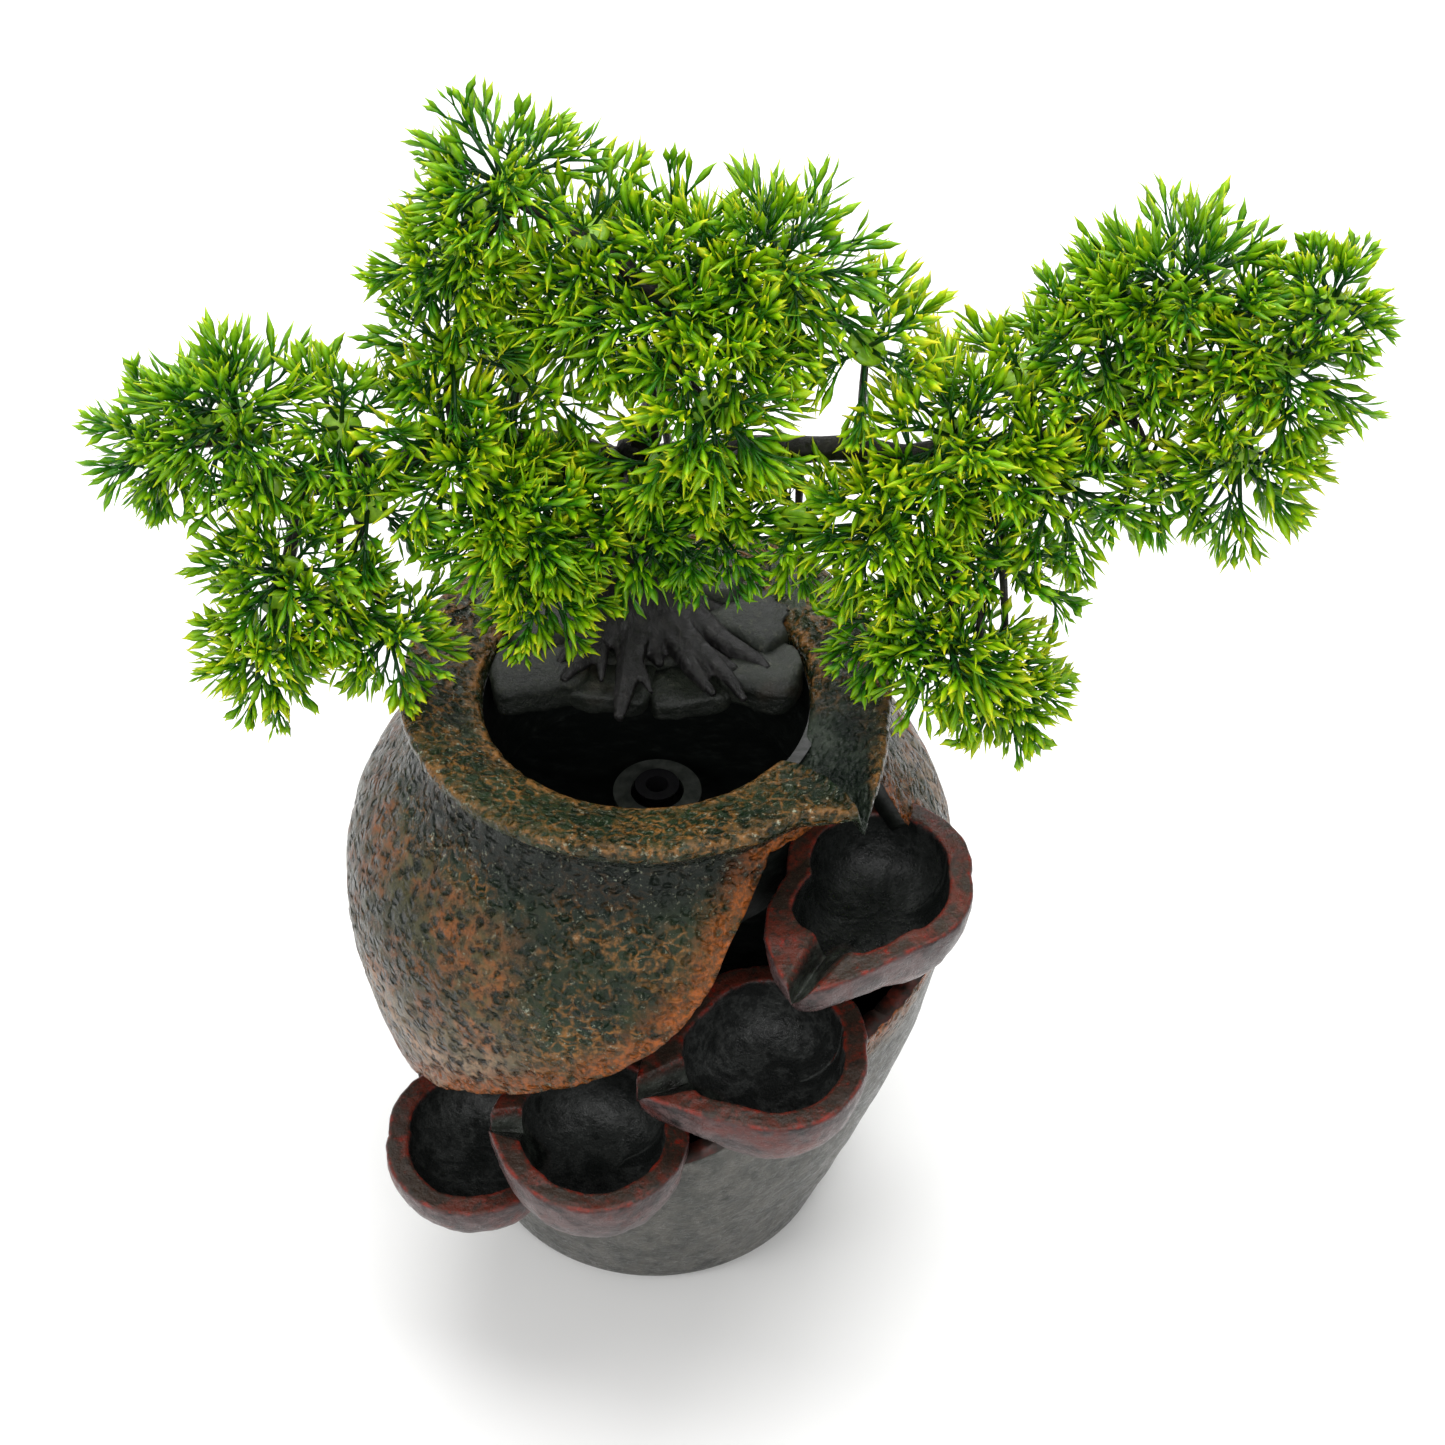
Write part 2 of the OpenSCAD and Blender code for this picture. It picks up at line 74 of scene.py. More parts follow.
def make_camera():
    data = bpy.data.cameras.new("camera")
    data.lens = LENS
    data.sensor_width = SENSOR
    camera = new_object("camera", data)
    back = Vector((0, -math.cos(VIEW_ELEVATION), math.sin(VIEW_ELEVATION)))
    camera.location = AIM + back * VIEW_DISTANCE
    camera.rotation_euler = (-back).to_track_quat("-Z", "Y").to_euler()
    bpy.context.scene.camera = camera


make_camera()

# ---------------- sizes from the frame


def box_mm(node):
    low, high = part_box(node)
    return np.array(low) / MM, np.array(high) / MM


jar_high, basin_high, pad_high = (box_mm(node)[1] for node in ("jar_shell", "pool_basin", "foot_pad"))

FOOT_R = 62.4
FOOT_Z = pad_high[2]
BELLY_R = jar_high[1]
BELLY_Z = 157
NECK_R = 74
NECK_Z = 229
RIM_R = 81
RIM_Z = jar_high[2]
WALL = 7
POOL_R = basin_high[0] - 4
LEDGE_TOP = 236
TRUNK_Y = 40
DOOR_HALF = 32
DOOR_HALF_HEIGHT = 28
DOOR_Z = 50
CABLE_TURN = math.radians(128)
CABLE_Z = 17
CABLE_R = 5


BOWL_HALF = 30.5
BOWL_STRETCH = 4.5
BOWL_RIM = 8
BOWL_BOTTOM = 13
BOWL_COLUMNS = 220
# how strongly the brush shows in each bowl's inside, and how light that inside is: partly painted light
# and shade, one value per bowl
BOWL_STROKES_AND_SHADE = (0.3, 1.0, 0.5, 0.6)
FIRST_BOWL_Y = -47


def bowl_frame(number, extra, drop, turn, reach):
    """Rim centre, half width, depth and spout of one bowl. The right side of its box fixes
    the centre, since a spout may pass the other side."""
    high = box_mm(f"bowl_{number}")[1]
    half = BOWL_HALF + extra
    return {
        "x": high[0] - half,
        "y": high[1] - half - BOWL_STRETCH if number > 1 else FIRST_BOWL_Y,
        "z": high[2],
        "half": half,
        "drop": drop,
        "turn": math.radians(turn),
        "reach": reach,
    }


BOWLS = [
    bowl_frame(1, 0, 36, -118, 59),
    bowl_frame(2, 1, 36, -156, 48),
    bowl_frame(3, 1, 36, 178, 36),
    bowl_frame(4, 0, 29, 0, 0),
]

# ---------------- small helpers


def rgb(red, green, blue):
    """A colour given as it looks on a screen, as linear values."""
    values = [v / 255 for v in (red, green, blue)]
    return tuple(v / 12.92 if v < 0.04 else ((v + 0.055) / 1.055) ** 2.4 for v in values) + (1,)


def smooth(low, high, value):
    t = np.clip((value - low) / (high - low), 0, 1)
    return t * t * (3 - 2 * t)


def cubic(a, b, c, d, count):
    t = np.linspace(0, 1, count)[:, None]
    s = 1 - t
    a, b, c, d = (np.array(p, float) for p in (a, b, c, d))
    return s**3 * a + 3 * s**2 * t * b + 3 * s * t**2 * c + t**3 * d


def resample(points, steps):
    """Points along a polyline at the given distances from its start."""
    points = np.array(points, float)
    lengths = np.r_[0, np.cumsum(np.linalg.norm(np.diff(points, axis=0), axis=1))]
    return np.stack([np.interp(steps, lengths, points[:, k]) for k in range(points.shape[1])], 1)


def spline(points, count):
    """A smooth curve through points (Catmull-Rom), with count points."""
    points = np.array(points, float)
    padded = np.vstack([2 * points[0] - points[1], points, 2 * points[-1] - points[-2]])
    result = []
    for t in np.linspace(0, len(points) - 1, count):
        i = min(int(t), len(points) - 2)
        u = t - i
        p0, p1, p2, p3 = padded[i : i + 4]
        result.append(
            0.5 * (2 * p1 + (p2 - p0) * u + (2 * p0 - 5 * p1 + 4 * p2 - p3) * u**2
                   + (3 * p1 - p0 - 3 * p2 + p3) * u**3)
        )
    return np.array(result)


def make_piece(name, points, faces, body, material, nodes=(), marks=None):
    """A mesh piece from points in millimetres. marks are numbers that its material reads:
    one for each point, or one for all."""
    mesh = bpy.data.meshes.new(name)
    mesh.from_pydata((np.asarray(points) * MM).tolist(), [], [list(f) for f in faces])
    for key, values in (marks or {}).items():
        layer = mesh.attributes.new(key, "FLOAT", "POINT")
        each = np.zeros(len(points)) + np.ravel(values)
        layer.data.foreach_set("value", each.astype(np.float32))
    mesh.validate()
    piece = new_object(name, mesh)
    for m in material if isinstance(material, list) else [material]:
        mesh.materials.append(m)
    mesh.shade_smooth()
    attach(piece, body)
    if nodes:
        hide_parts(*nodes)
    return piece


def grid_faces(rows, columns, wrap_rows=False):
    """Quads of a grid whose columns go round and join."""
    r = np.arange(rows if wrap_rows else rows - 1)[:, None]
    c = np.arange(columns)[None, :]
    a = r * columns + c
    b = r * columns + (c + 1) % columns
    up = (r + 1) % rows
    return np.stack([a, b, up * columns + (c + 1) % columns, up * columns + c], -1).reshape(-1, 4)


def weld(piece):
    """Joins doubled points, such as those at a pole, turns the faces outward and drops points
    that no face uses."""
    work = bmesh.new()
    work.from_mesh(piece.data)
    bmesh.ops.remove_doubles(work, verts=work.verts, dist=0.02 * MM)
    bmesh.ops.recalc_face_normals(work, faces=work.faces)
    bmesh.ops.delete(work, geom=[v for v in work.verts if not v.link_faces], context="VERTS")
    work.to_mesh(piece.data)
    work.free()
    piece.data.shade_smooth()


def apply_modifiers(piece):
    """Bakes a piece's modifiers into its mesh."""
    graph = bpy.context.evaluated_depsgraph_get()
    mesh = bpy.data.meshes.new_from_object(piece.evaluated_get(graph))
    old = piece.data
    piece.modifiers.clear()
    piece.data = mesh
    bpy.data.meshes.remove(old)


def lumps(points, size, octaves=2, offset=0.0):
    """Smooth noise from -1 to 1 at each point."""
    return np.array(
        [noise.fractal(Vector(p) / size + Vector((offset, 0, 0)), 1.0, 2.0, octaves) for p in points]
    )


def read_points(mesh):
    """A mesh's points, in millimetres, and its normals."""
    points = np.array([v.co for v in mesh.vertices]) / MM
    return points, np.array([v.normal for v in mesh.vertices])


def set_points(mesh, points):
    mesh.vertices.foreach_set("co", (points * MM).astype(np.float32).ravel())
    mesh.update()


def roughen(piece, size, amount, offset):
    """Moves a mesh's points along their normals by noise."""
    points, normals = read_points(piece.data)
    set_points(piece.data, points + normals * (lumps(points, size, 3, offset) * amount)[:, None])


def wander(path, size, amount, offset, step):
    """A path bent by smooth noise, with a different noise on each axis."""
    return path + np.stack([lumps(path, size, 2, offset + k * step) * amount for k in range(3)], 1)


# ---------------- materials


class Shade:
    """Builds one procedural material."""

    def __init__(self, name):
        self.material = bpy.data.materials.new(name)
        self.material.use_nodes = True
        self.tree = self.material.node_tree
        self.skin = self.tree.nodes["Principled BSDF"]
        self.place = self.node("TexCoord", "Object", {})

    def feed(self, node, values):
        """Sets a node's inputs, each to a value or to another node's output."""
        for key, value in values.items():
            if isinstance(value, bpy.types.NodeSocket):
                self.tree.links.new(value, node.inputs[key])
            else:
                node.inputs[key].default_value = value

    def node(self, kind, output, values, **settings):
        """Adds a node and returns one of its outputs."""
        made = self.tree.nodes.new("ShaderNode" + kind)
        for key, value in settings.items():
            setattr(made, key, value)
        self.feed(made, values)
        return made.outputs[output]

    def stretched(self, scale, place=None):
        return self.node("Mapping", "Vector", {"Vector": place or self.place, "Scale": scale})

    def noise(self, scale, detail=4, rough=0.6, place=None, twist=0.0, output="Fac"):
        return self.node("TexNoise", output, {
            "Vector": place or self.place, "Scale": scale, "Detail": detail, "Roughness": rough,
            "Distortion": twist})

    def cells(self, scale, place, feature="F1"):
        return self.node("TexVoronoi", "Distance", {"Vector": place, "Scale": scale}, feature=feature)

    def mark(self, name):
        return self.node("Attribute", "Fac", {}, attribute_name=name)

    def warped(self, scale, amount):
        """The place shifted about by noise."""
        shift = self.noise(scale, 2, 0.5, output="Color")
        return self.node("VectorMath", 0, {0: shift, 1: (amount, amount, amount), 2: self.place},
                         operation="MULTIPLY_ADD")

    def mix(self, amount, first, second, kind="RGBA"):
        return self.node("Mix", "Result", {"Factor": amount, "A": first, "B": second}, data_type=kind)

    def axis(self, name):
        return self.node("SeparateXYZ", name, {0: self.place})

    def point(self, x, y, z):
        return self.node("CombineXYZ", 0, {0: x, 1: y, 2: z})

    def span(self, value, low, high, out_low=0.0, out_high=1.0):
        return self.node("MapRange", "Result", {
            "Value": value, "From Min": low, "From Max": high, "To Min": out_low, "To Max": out_high,
        }, interpolation_type="SMOOTHSTEP")

    def blend(self, value, low, high, first, second):
        """From the first colour to the second as a value goes from low to high."""
        return self.mix(self.span(value, low, high), first, second)

    def maths(self, operation, first, second):
        return self.node("Math", 0, {0: first, 1: second}, operation=operation, use_clamp=True)

    def times(self, first, second):
        return self.maths("MULTIPLY", first, second)

    def plus(self, first, second):
        return self.maths("ADD", first, second)

    def ramp(self, value, stops):
        made = self.tree.nodes.new("ShaderNodeValToRGB")
        self.feed(made, {"Fac": value})
        band = made.color_ramp.elements
        while len(band) < len(stops):
            band.new(0.5)
        for element, (at, colour) in zip(band, stops):
            element.position = at
            element.color = colour
        return made.outputs["Color"]

    def bump(self, height, depth, under=None):
        """A normal for a relief, on top of the normal under it if there is one."""
        return self.node("Bump", "Normal", {"Distance": depth, "Height": height, "Strength": 1.0,
                                            **({"Normal": under} if under else {})})

    def finish(self, colour, rough, normal=None, shine=0.5, **other):
        """Fills the skin in. Further inputs are given with _ for a space in their names."""
        given = {"Base Color": colour, "Roughness": rough, "Specular IOR Level": shine, **other}
        if normal:
            given["Normal"] = normal
        self.feed(self.skin, {key.replace("_", " "): value for key, value in given.items()})
        return self.material


JAR_MARKS = ("upper", "edge", "crest", "fine", "dark", "quiet", "pale", "neck")


def foot_paint(s):
    """Colour of the jar's foot: grey-green with pale upright strokes and dark patches."""
    strokes = s.span(s.noise(1, 4, 0.65, s.stretched((150, 150, 60))), 0.3, 0.7)
    patches = s.span(s.noise(90, 5, 0.7), 0.5, 0.7)
    return s.mix(patches, s.mix(strokes, rgb(50, 52, 47), rgb(84, 82, 76)), rgb(36, 38, 34))


def jar_material(name, inside=False):
    """Hammered resin, dark green with copper or pink-grey ridges, over a smooth grey-green foot.

    The marks say where each look lies: upper is the hammered part and edge the ochre band along
    the cut; crest is the worn edge of the rim; fine has smaller dimples; dark is deep green with
    copper veins; quiet is the groove of the lip; pale has pink ridges; neck is painted nearly
    black, as painted shade under the rim. The pale specks and glints are painted highlights."""
    s = Shade(name)
    upper, edge, crest, fine, dark, quiet, pale, neck = (s.mark(key) for key in JAR_MARKS)
    grain = s.noise(520, 5, 0.7)
    blotch = s.noise(30, 4, 0.6)
    cloud = s.noise(13, 3, 0.6)
    bent = s.stretched((1, 1, 1.4), s.warped(170, 0.006))
    dimple = s.mix(fine, s.cells(230, bent), s.cells(330, bent), "FLOAT")
    speck = s.span(s.noise(300, 5, 0.75), 0.36, 0.64)
    pit = s.span(dimple, 0.1, 0.6)
    ridge = s.span(s.plus(s.times(dimple, 0.7), s.times(speck, 0.22)), 0.2, 0.52)
    low = s.times(s.span(s.axis("Z"), 0.185, 0.12), s.span(cloud, 0.3, 0.55))
    low = s.maths("MAXIMUM", low, pale)
    # the floors of the dimples, and what is brushed over their ridges
    green = s.blend(blotch, 0.35, 0.65, rgb(5, 18, 9), rgb(20, 30, 14))
    skin = s.mix(low, green, rgb(21, 18, 14))
    bright = s.times(s.span(s.noise(70, 4, 0.7), 0.4, 0.62), s.span(dark, 0.0, 1.0, 1.0, 0.3))
    copper = s.mix(bright, rgb(78, 74, 46), rgb(144, 84, 40))
    pink = s.blend(s.noise(80, 4, 0.7), 0.4, 0.6, rgb(100, 90, 74), rgb(160, 134, 110))
    cover = s.plus(s.span(cloud, 0.4, 0.64, 0.45, 1.0), s.times(low, 0.5))
    worn = s.times(s.times(ridge, cover), s.plus(speck, 0.2))
    skin = s.mix(worn, skin, s.mix(low, copper, pink))
    # deep green with veins, where it is dark
    veins = s.span(s.cells(210, bent, "DISTANCE_TO_EDGE"), 0.0, 0.2, 1.0, 0.0)
    veins = s.times(s.times(veins, s.span(s.noise(55, 5, 0.7), 0.4, 0.6)), speck)
    deep = s.blend(blotch, 0.35, 0.65, rgb(5, 26, 13), rgb(26, 44, 22))
    deep = s.mix(veins, deep, rgb(138, 92, 42))
    skin = s.mix(s.times(s.span(dark, 0.1, 0.9), s.span(cloud, 0.3, 0.5, 0.62, 0.92)), skin, deep)
    # worn rim, the neck made nearly black as painted shade, and pale specks and glints as painted
    # highlights
    skin = s.mix(s.times(crest, s.times(speck, pit)), skin, rgb(140, 96, 50))
    skin = s.mix(s.times(neck, 0.85), skin, rgb(10, 18, 14))
    skin = s.mix(s.span(grain, 0.6, 0.7, 0.0, 0.6), skin, rgb(140, 142, 120))
    glint = s.times(s.span(s.noise(440, 4, 0.75), 0.6, 0.68), s.span(dark, 0.2, 0.8, 0.1, 0.62))
    skin = s.mix(s.times(glint, s.span(cloud, 0.36, 0.6)), skin, rgb(176, 182, 160))
    # foot, groove of the lip and band along the cut
    skin = s.mix(upper, foot_paint(s), skin)
    valley = s.blend(s.noise(60, 6, 0.75), 0.4, 0.68, rgb(12, 22, 16), rgb(56, 64, 54))
    skin = s.mix(quiet, skin, valley)
    ochre = s.blend(grain, 0.4, 0.6, rgb(150, 80, 30), rgb(92, 58, 30))
    band = s.times(s.times(edge, upper), s.span(s.noise(120, 4, 0.7), 0.34, 0.56))
    skin = s.mix(band, skin, ochre)
    if inside:
        skin = s.mix(s.span(grain, 0.3, 0.7, 0.86, 0.94), skin, rgb(14, 17, 15))
    rough = s.plus(s.span(grain, 0.3, 0.8, 0.18, 0.3), s.times(worn, s.span(dark, 0.0, 1.0, 0.22, 0.05)))
    hammered = s.bump(s.times(pit, upper), 0.0016)
    normal = s.bump(s.plus(s.times(grain, 0.6), s.times(speck, 0.2)), 0.0006, hammered)
    return s.finish(skin, rough, normal, 0.16, Coat_Weight=0.16, Coat_Roughness=0.1, Coat_Normal=normal)


def cut_material():
    """The cut face of the jar's wall, painted dark brown with red, and near black at the top as painted
    shade.
    """
    s = Shade("cut_face")
    patch = s.noise(70, 5, 0.7)
    skin = s.blend(patch, 0.42, 0.62, rgb(42, 32, 27), rgb(86, 34, 24))
    skin = s.blend(s.noise(260, 4), 0.5, 0.7, skin, rgb(24, 22, 19))
    # painted shade: near black above about 180 mm, under the neck where the cut meets the upper bowls
    skin = s.blend(s.axis("Z"), 0.172, 0.186, skin, rgb(17, 21, 17))
    return s.finish(skin, 0.42, s.bump(s.noise(300, 5, 0.7), 0.0004))


def dark_material():
    """The pool's near-black paint with faint brush marks."""
    s = Shade("pool_paint")
    marks = s.noise(1, 5, 0.7, s.stretched((120, 260, 420)))
    skin = s.blend(marks, 0.5, 0.78, rgb(15, 19, 17), rgb(38, 42, 39))
    return s.finish(skin, s.span(marks, 0.3, 0.7, 0.3, 0.5), s.bump(marks, 0.0004), 0.4)


def bowl_material():
    """Bowls: mauve-grey walls, brown rims with red edges, brushed insides that are near-black from
    dark paint and painted shade. around and out are the brush's way round the bowl, and pale
    says how strongly it shows and how light the inside is, as painted light and shade per bowl."""
    s = Shade("bowl_paint")
    rim, inside, edge, spout, around, out, pale = (
        s.mark(key) for key in ("rim", "inside", "edge", "spout", "around", "out", "pale"))
    grain = s.noise(380, 5, 0.7)
    streak = s.noise(1, 5, 0.7, s.stretched((90, 90, 190)))
    patch = s.noise(75, 5, 0.7)
    wall = s.blend(streak, 0.35, 0.65, rgb(46, 34, 34), rgb(92, 72, 71))
    wall = s.blend(patch, 0.5, 0.66, wall, rgb(30, 26, 26))
    wall = s.blend(s.noise(40, 4, 0.7), 0.5, 0.66, wall, rgb(88, 38, 31))
    top = s.blend(patch, 0.45, 0.6, rgb(52, 42, 35), rgb(86, 42, 32))
    top = s.blend(s.noise(150, 5, 0.75), 0.57, 0.68, top, rgb(120, 32, 22))
    top = s.blend(grain, 0.52, 0.66, top, rgb(38, 33, 28))
    swirl = s.noise(1, 6, 0.75, s.point(s.times(out, 0.24), s.times(around, 2.2), patch), 1.2)
    # painted light and shade: pale, one value per bowl, sets how light each inside is and how strongly its
    # strokes show
    strokes = s.times(s.span(swirl, 0.46, 0.72), s.times(pale, s.span(out, 1.5, 8)))
    inner = s.mix(strokes, s.mix(pale, rgb(10, 14, 12), rgb(30, 32, 31)), rgb(112, 115, 112))
    skin = s.mix(rim, wall, top)
    skin = s.mix(inside, skin, inner)
    channel = s.blend(streak, 0.4, 0.66, rgb(15, 19, 16), rgb(52, 58, 52))
    skin = s.mix(s.times(spout, s.span(patch, 0.2, 0.45, 0.6, 0.95)), skin, channel)
    red = s.blend(grain, 0.4, 0.65, rgb(128, 38, 26), rgb(92, 40, 30))
    skin = s.mix(s.times(edge, s.span(s.noise(130, 5, 0.7), 0.44, 0.6)), skin, red)
    rough = s.span(grain, 0.3, 0.75, 0.22, 0.42)
    relief = s.plus(s.times(grain, 0.5), s.times(patch, 0.6))
    return s.finish(skin, rough, s.bump(relief, 0.0012), 0.3)


def rock_material():
    s = Shade("rock")
    patch = s.noise(46, 6, 0.7)
    grain = s.noise(330, 5, 0.75)
    skin = s.blend(patch, 0.36, 0.64, rgb(18, 23, 18), rgb(48, 53, 44))
    skin = s.blend(grain, 0.52, 0.72, skin, rgb(78, 80, 68))
    skin = s.blend(s.noise(24, 3), 0.56, 0.7, skin, rgb(70, 54, 38))
    # painted shade: the rocks turn near black towards the front of the ledge
    skin = s.mix(s.span(s.axis("Y"), 0.014, -0.002, 0.0, 0.8), skin, rgb(11, 15, 12))
    return s.finish(skin, s.span(grain, 0.3, 0.7, 0.36, 0.6),
                    s.bump(s.plus(grain, s.times(patch, 0.6)), 0.0009), 0.45)


def bark_material(name, dark, light):
    """Moulded bark or wire cover with lighter ridges, drawn along the limb."""
    s = Shade(name)
    lines = s.noise(1, 6, 0.75, s.stretched((260, 260, 90)), 0.6)
    skin = s.blend(lines, 0.5, 0.72, dark, light)
    return s.finish(skin, s.span(lines, 0.35, 0.7, 0.34, 0.55), s.bump(lines, 0.0012))


def needle_material():
    """Soft plastic needles: deep green at the root, bright green, then yellow-lime tips. Needles deep
    in a sprig are kept darker as painted shade, and stems that point up lighter as painted light.
    """
    s = Shade("needles")
    along, tint = s.mark("along"), s.mark("tint")
    flow = s.plus(s.times(along, 0.82), s.times(tint, 0.3))
    flow = s.plus(flow, s.span(s.noise(300, 3), 0.3, 0.7, -0.05, 0.05))
    skin = s.ramp(flow, [
        (0.0, rgb(8, 44, 14)), (0.34, rgb(20, 76, 12)), (0.58, rgb(54, 124, 4)),
        (0.8, rgb(134, 182, 4)), (0.98, rgb(216, 216, 22))])
    return s.finish(skin, s.span(along, 0.0, 1.0, 0.46, 0.34), s.bump(s.noise(900, 2), 0.0002), 0.3)


def hub_material():
    s = Shade("hub_plastic")
    skin = s.blend(s.noise(220, 3), 0.35, 0.65, rgb(108, 160, 14), rgb(150, 196, 30))
    return s.finish(skin, 0.4, s.bump(s.noise(500, 3), 0.0002))


def moulded_material(name, colour, rough=0.4, grain_scale=1400):
    """Moulded plastic or rubber with a fine grain and slight wear."""
    s = Shade(name)
    grain = s.noise(grain_scale, 3)
    wear = s.noise(60, 5, 0.7)
    base = rgb(*colour)
    light = rgb(*(min(255, int(c * 1.25) + 12) for c in colour))
    skin = s.mix(s.span(wear, 0.5, 0.72, 0.0, 0.6), base, light)
    return s.finish(skin, s.span(wear, 0.3, 0.7, rough - 0.06, rough + 0.1), s.bump(grain, 0.00015))


def panel_material():
    """The access door and its pull, painted like the foot of the jar round them."""
    s = Shade("panel_paint")
    grain = s.noise(520, 5, 0.7)
    return s.finish(foot_paint(s), s.span(grain, 0.3, 0.8, 0.3, 0.46), s.bump(grain, 0.0006), 0.3)


def lens_material():
    s = Shade("frosted_lens")
    cloud = s.noise(160, 4)
    # painted shade: grey, darker than the frosted plastic, for a ring that lies half under water in shadow
    skin = s.blend(cloud, 0.35, 0.65, rgb(62, 66, 62), rgb(96, 100, 95))
    return s.finish(skin, s.span(cloud, 0.3, 0.7, 0.28, 0.4), s.bump(s.noise(900, 3), 0.0001),
                    Transmission_Weight=0.35)


def tube_material():
    s = Shade("clear_vinyl")
    skin = s.blend(s.noise(90, 3), 0.3, 0.7, rgb(196, 204, 200), rgb(216, 222, 219))
    return s.finish(skin, 0.24, s.bump(s.noise(300, 2), 0.0001), Transmission_Weight=0.5)


def steel_material():
    s = Shade("laminated_steel")
    leaves = s.noise(1, 2, 0.5, s.stretched((20, 20, 3600)))
    skin = s.blend(leaves, 0.4, 0.6, rgb(110, 110, 114), rgb(166, 166, 170))
    return s.finish(skin, s.span(leaves, 0.3, 0.7, 0.3, 0.46), s.bump(leaves, 0.0002), Metallic=1.0)


JAR = jar_material("jar_hammered")
JAR_INSIDE = jar_material("jar_inside", inside=True)
CUT = cut_material()
DARK = dark_material()
BOWL = bowl_material()
ROCK = rock_material()
BARK = bark_material("bark", rgb(14, 13, 13), rgb(50, 47, 46))
WIRE = bark_material("branch_cover", rgb(24, 21, 17), rgb(66, 60, 50))
NEEDLE = needle_material()
HUB = hub_material()
BLACK = moulded_material("black_plastic", (24, 24, 26))
RUBBER = moulded_material("soft_rubber", (28, 28, 28), 0.6, 800)
WHITE = moulded_material("white_plastic", (214, 213, 208))
CERAMIC = moulded_material("ground_ceramic", (222, 221, 214), 0.28, 2400)
LAMP = moulded_material("lamp_domes", (236, 236, 226), 0.2, 1800)
PANEL = panel_material()
LENS_FINISH = lens_material()
TUBE = tube_material()
STEEL = steel_material()

CAD_FINISHES = {
    BLACK: ("light_ring_body", "water_nozzle", "pump_housing", "pump_cover", "flow_dial"),
    RUBBER: ("foot_pad", "rear_bush", "front_bush", "suction_cups", "door_gasket", "cable_grommet"),
    DARK: ("pool_basin", "splash_board"), PANEL: ("pump_door", "door_pull"),
    LENS_FINISH: ("light_ring_lens",), LAMP: ("leds",), TUBE: ("supply_tube",), STEEL: ("motor_core",),
    CERAMIC: ("impeller_shaft",), WHITE: ("impeller",), BARK: ("tree_peg",),
}
for finish, cad_nodes in CAD_FINISHES.items():
    for node_name in cad_nodes:
        cad_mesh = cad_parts[node_name].data
        cad_mesh.materials.clear()
        cad_mesh.materials.append(finish)

# ---------------- jar

WALL_COLUMNS = 352
FOOT_LENGTH = 96
FOOT_STEP = 2.6
WALL_STEP = 1.8
WALL_DIMPLE = 5.4
RIM_DIMPLE = 4.6
RIM_ROLL = 2.7


def jar_outline():
    """The jar's side from the foot to the neck."""
    lower = cubic((FOOT_R, FOOT_Z), (FOOT_R + 15, 45), (BELLY_R, 112), (BELLY_R, BELLY_Z), 60)
    upper = cubic((BELLY_R, BELLY_Z), (BELLY_R, 196), (NECK_R + 6, 204), (NECK_R, NECK_Z), 50)
    return np.vstack([lower, upper[1:], [[NECK_R - 0.3, NECK_Z + 2]]])


def polygon_depth(x, z, corners):
    """How far each point is inside a polygon; negative outside."""
    depth = np.full(x.shape, 1e9)
    inside = np.zeros(x.shape, bool)
    for (x0, z0), (x1, z1) in zip(corners, np.roll(corners, -1, axis=0)):
        ex, ez = x1 - x0, z1 - z0
        t = np.clip(((x - x0) * ex + (z - z0) * ez) / (ex * ex + ez * ez), 0, 1)
        depth = np.minimum(depth, np.hypot(x - x0 - t * ex, z - z0 - t * ez))
        if z0 != z1:
            crosses = ((z0 > z) != (z1 > z)) & (x < (z - z0) * ex / ez + x0)
            inside ^= crosses
    return np.where(inside, depth, -depth)


def upper_cut_line():
    """The upper edge of the cut-away, seen from the front: low at the left, to the neck."""
    return np.vstack([[[-98, 98], [-84, 107], [-70, 121]],
                      cubic((-62, 130), (-30, 158), (14, 172), (27, 204), 14),
                      [[33, 212], [40.5, NECK_Z - 3]]])


def opening(p):
    """Positive where the jar's wall is cut away: the cascade's opening, the bowls' seats,
    the access door and the cable's hole."""
    x, y, z = p[..., 0], p[..., 1], p[..., 2]
    lower = spline([(120, 150), (80, 149), (62, 146), (50, 138), (18, 114), (-10, 104), (-45, 88),
                    (-75, 78), (-98, 80)], 40)
    outline = np.vstack([upper_cut_line(), [[120, NECK_Z - 3]], lower])
    side = np.where(z > 120, -60 + (z - 120) * 46 / (NECK_Z - 120), -60)
    side = np.where(x > -30, side, -14)
    cut = np.minimum(polygon_depth(x, z, outline), np.minimum(side - y, -14 - y))
    for b in BOWLS:
        a, c = b["half"] - 3, b["drop"] - 3
        egg = ((x - b["x"]) / a) ** 2 + ((y - b["y"]) / (a + BOWL_STRETCH)) ** 2 + ((z - b["z"]) / c) ** 2
        cut = np.maximum(cut, np.minimum((1 - egg) * 14, b["z"] - z))
    door = np.minimum(DOOR_HALF - abs(x), DOOR_HALF_HEIGHT - abs(z - DOOR_Z))
    cut = np.maximum(cut, np.where(y > 0, door, -50))
    aside = -x * math.sin(CABLE_TURN) + y * math.cos(CABLE_TURN)
    hole = CABLE_R - np.hypot(aside, z - CABLE_Z)
    return np.maximum(cut, np.where((y > 0) & (x < 0), hole, -50))


def cell_distance(place):
    """Distance to the nearest of the points strewn about by noise."""
    return noise.voronoi(place, distance_metric="DISTANCE", exponent=1.0)[0][0]


def hammer(points, size, offset=0.0):
    """From 0 in a pit to 1 on a ridge: irregular dimples about size across."""
    places = [Vector(p) / size for p in points]
    shift = Vector((offset, 3, 5))
    near = [cell_distance(q + noise.noise_vector(q * 0.9 + shift) * 0.35) for q in places]
    return smooth(0.12, 0.62, np.array(near))


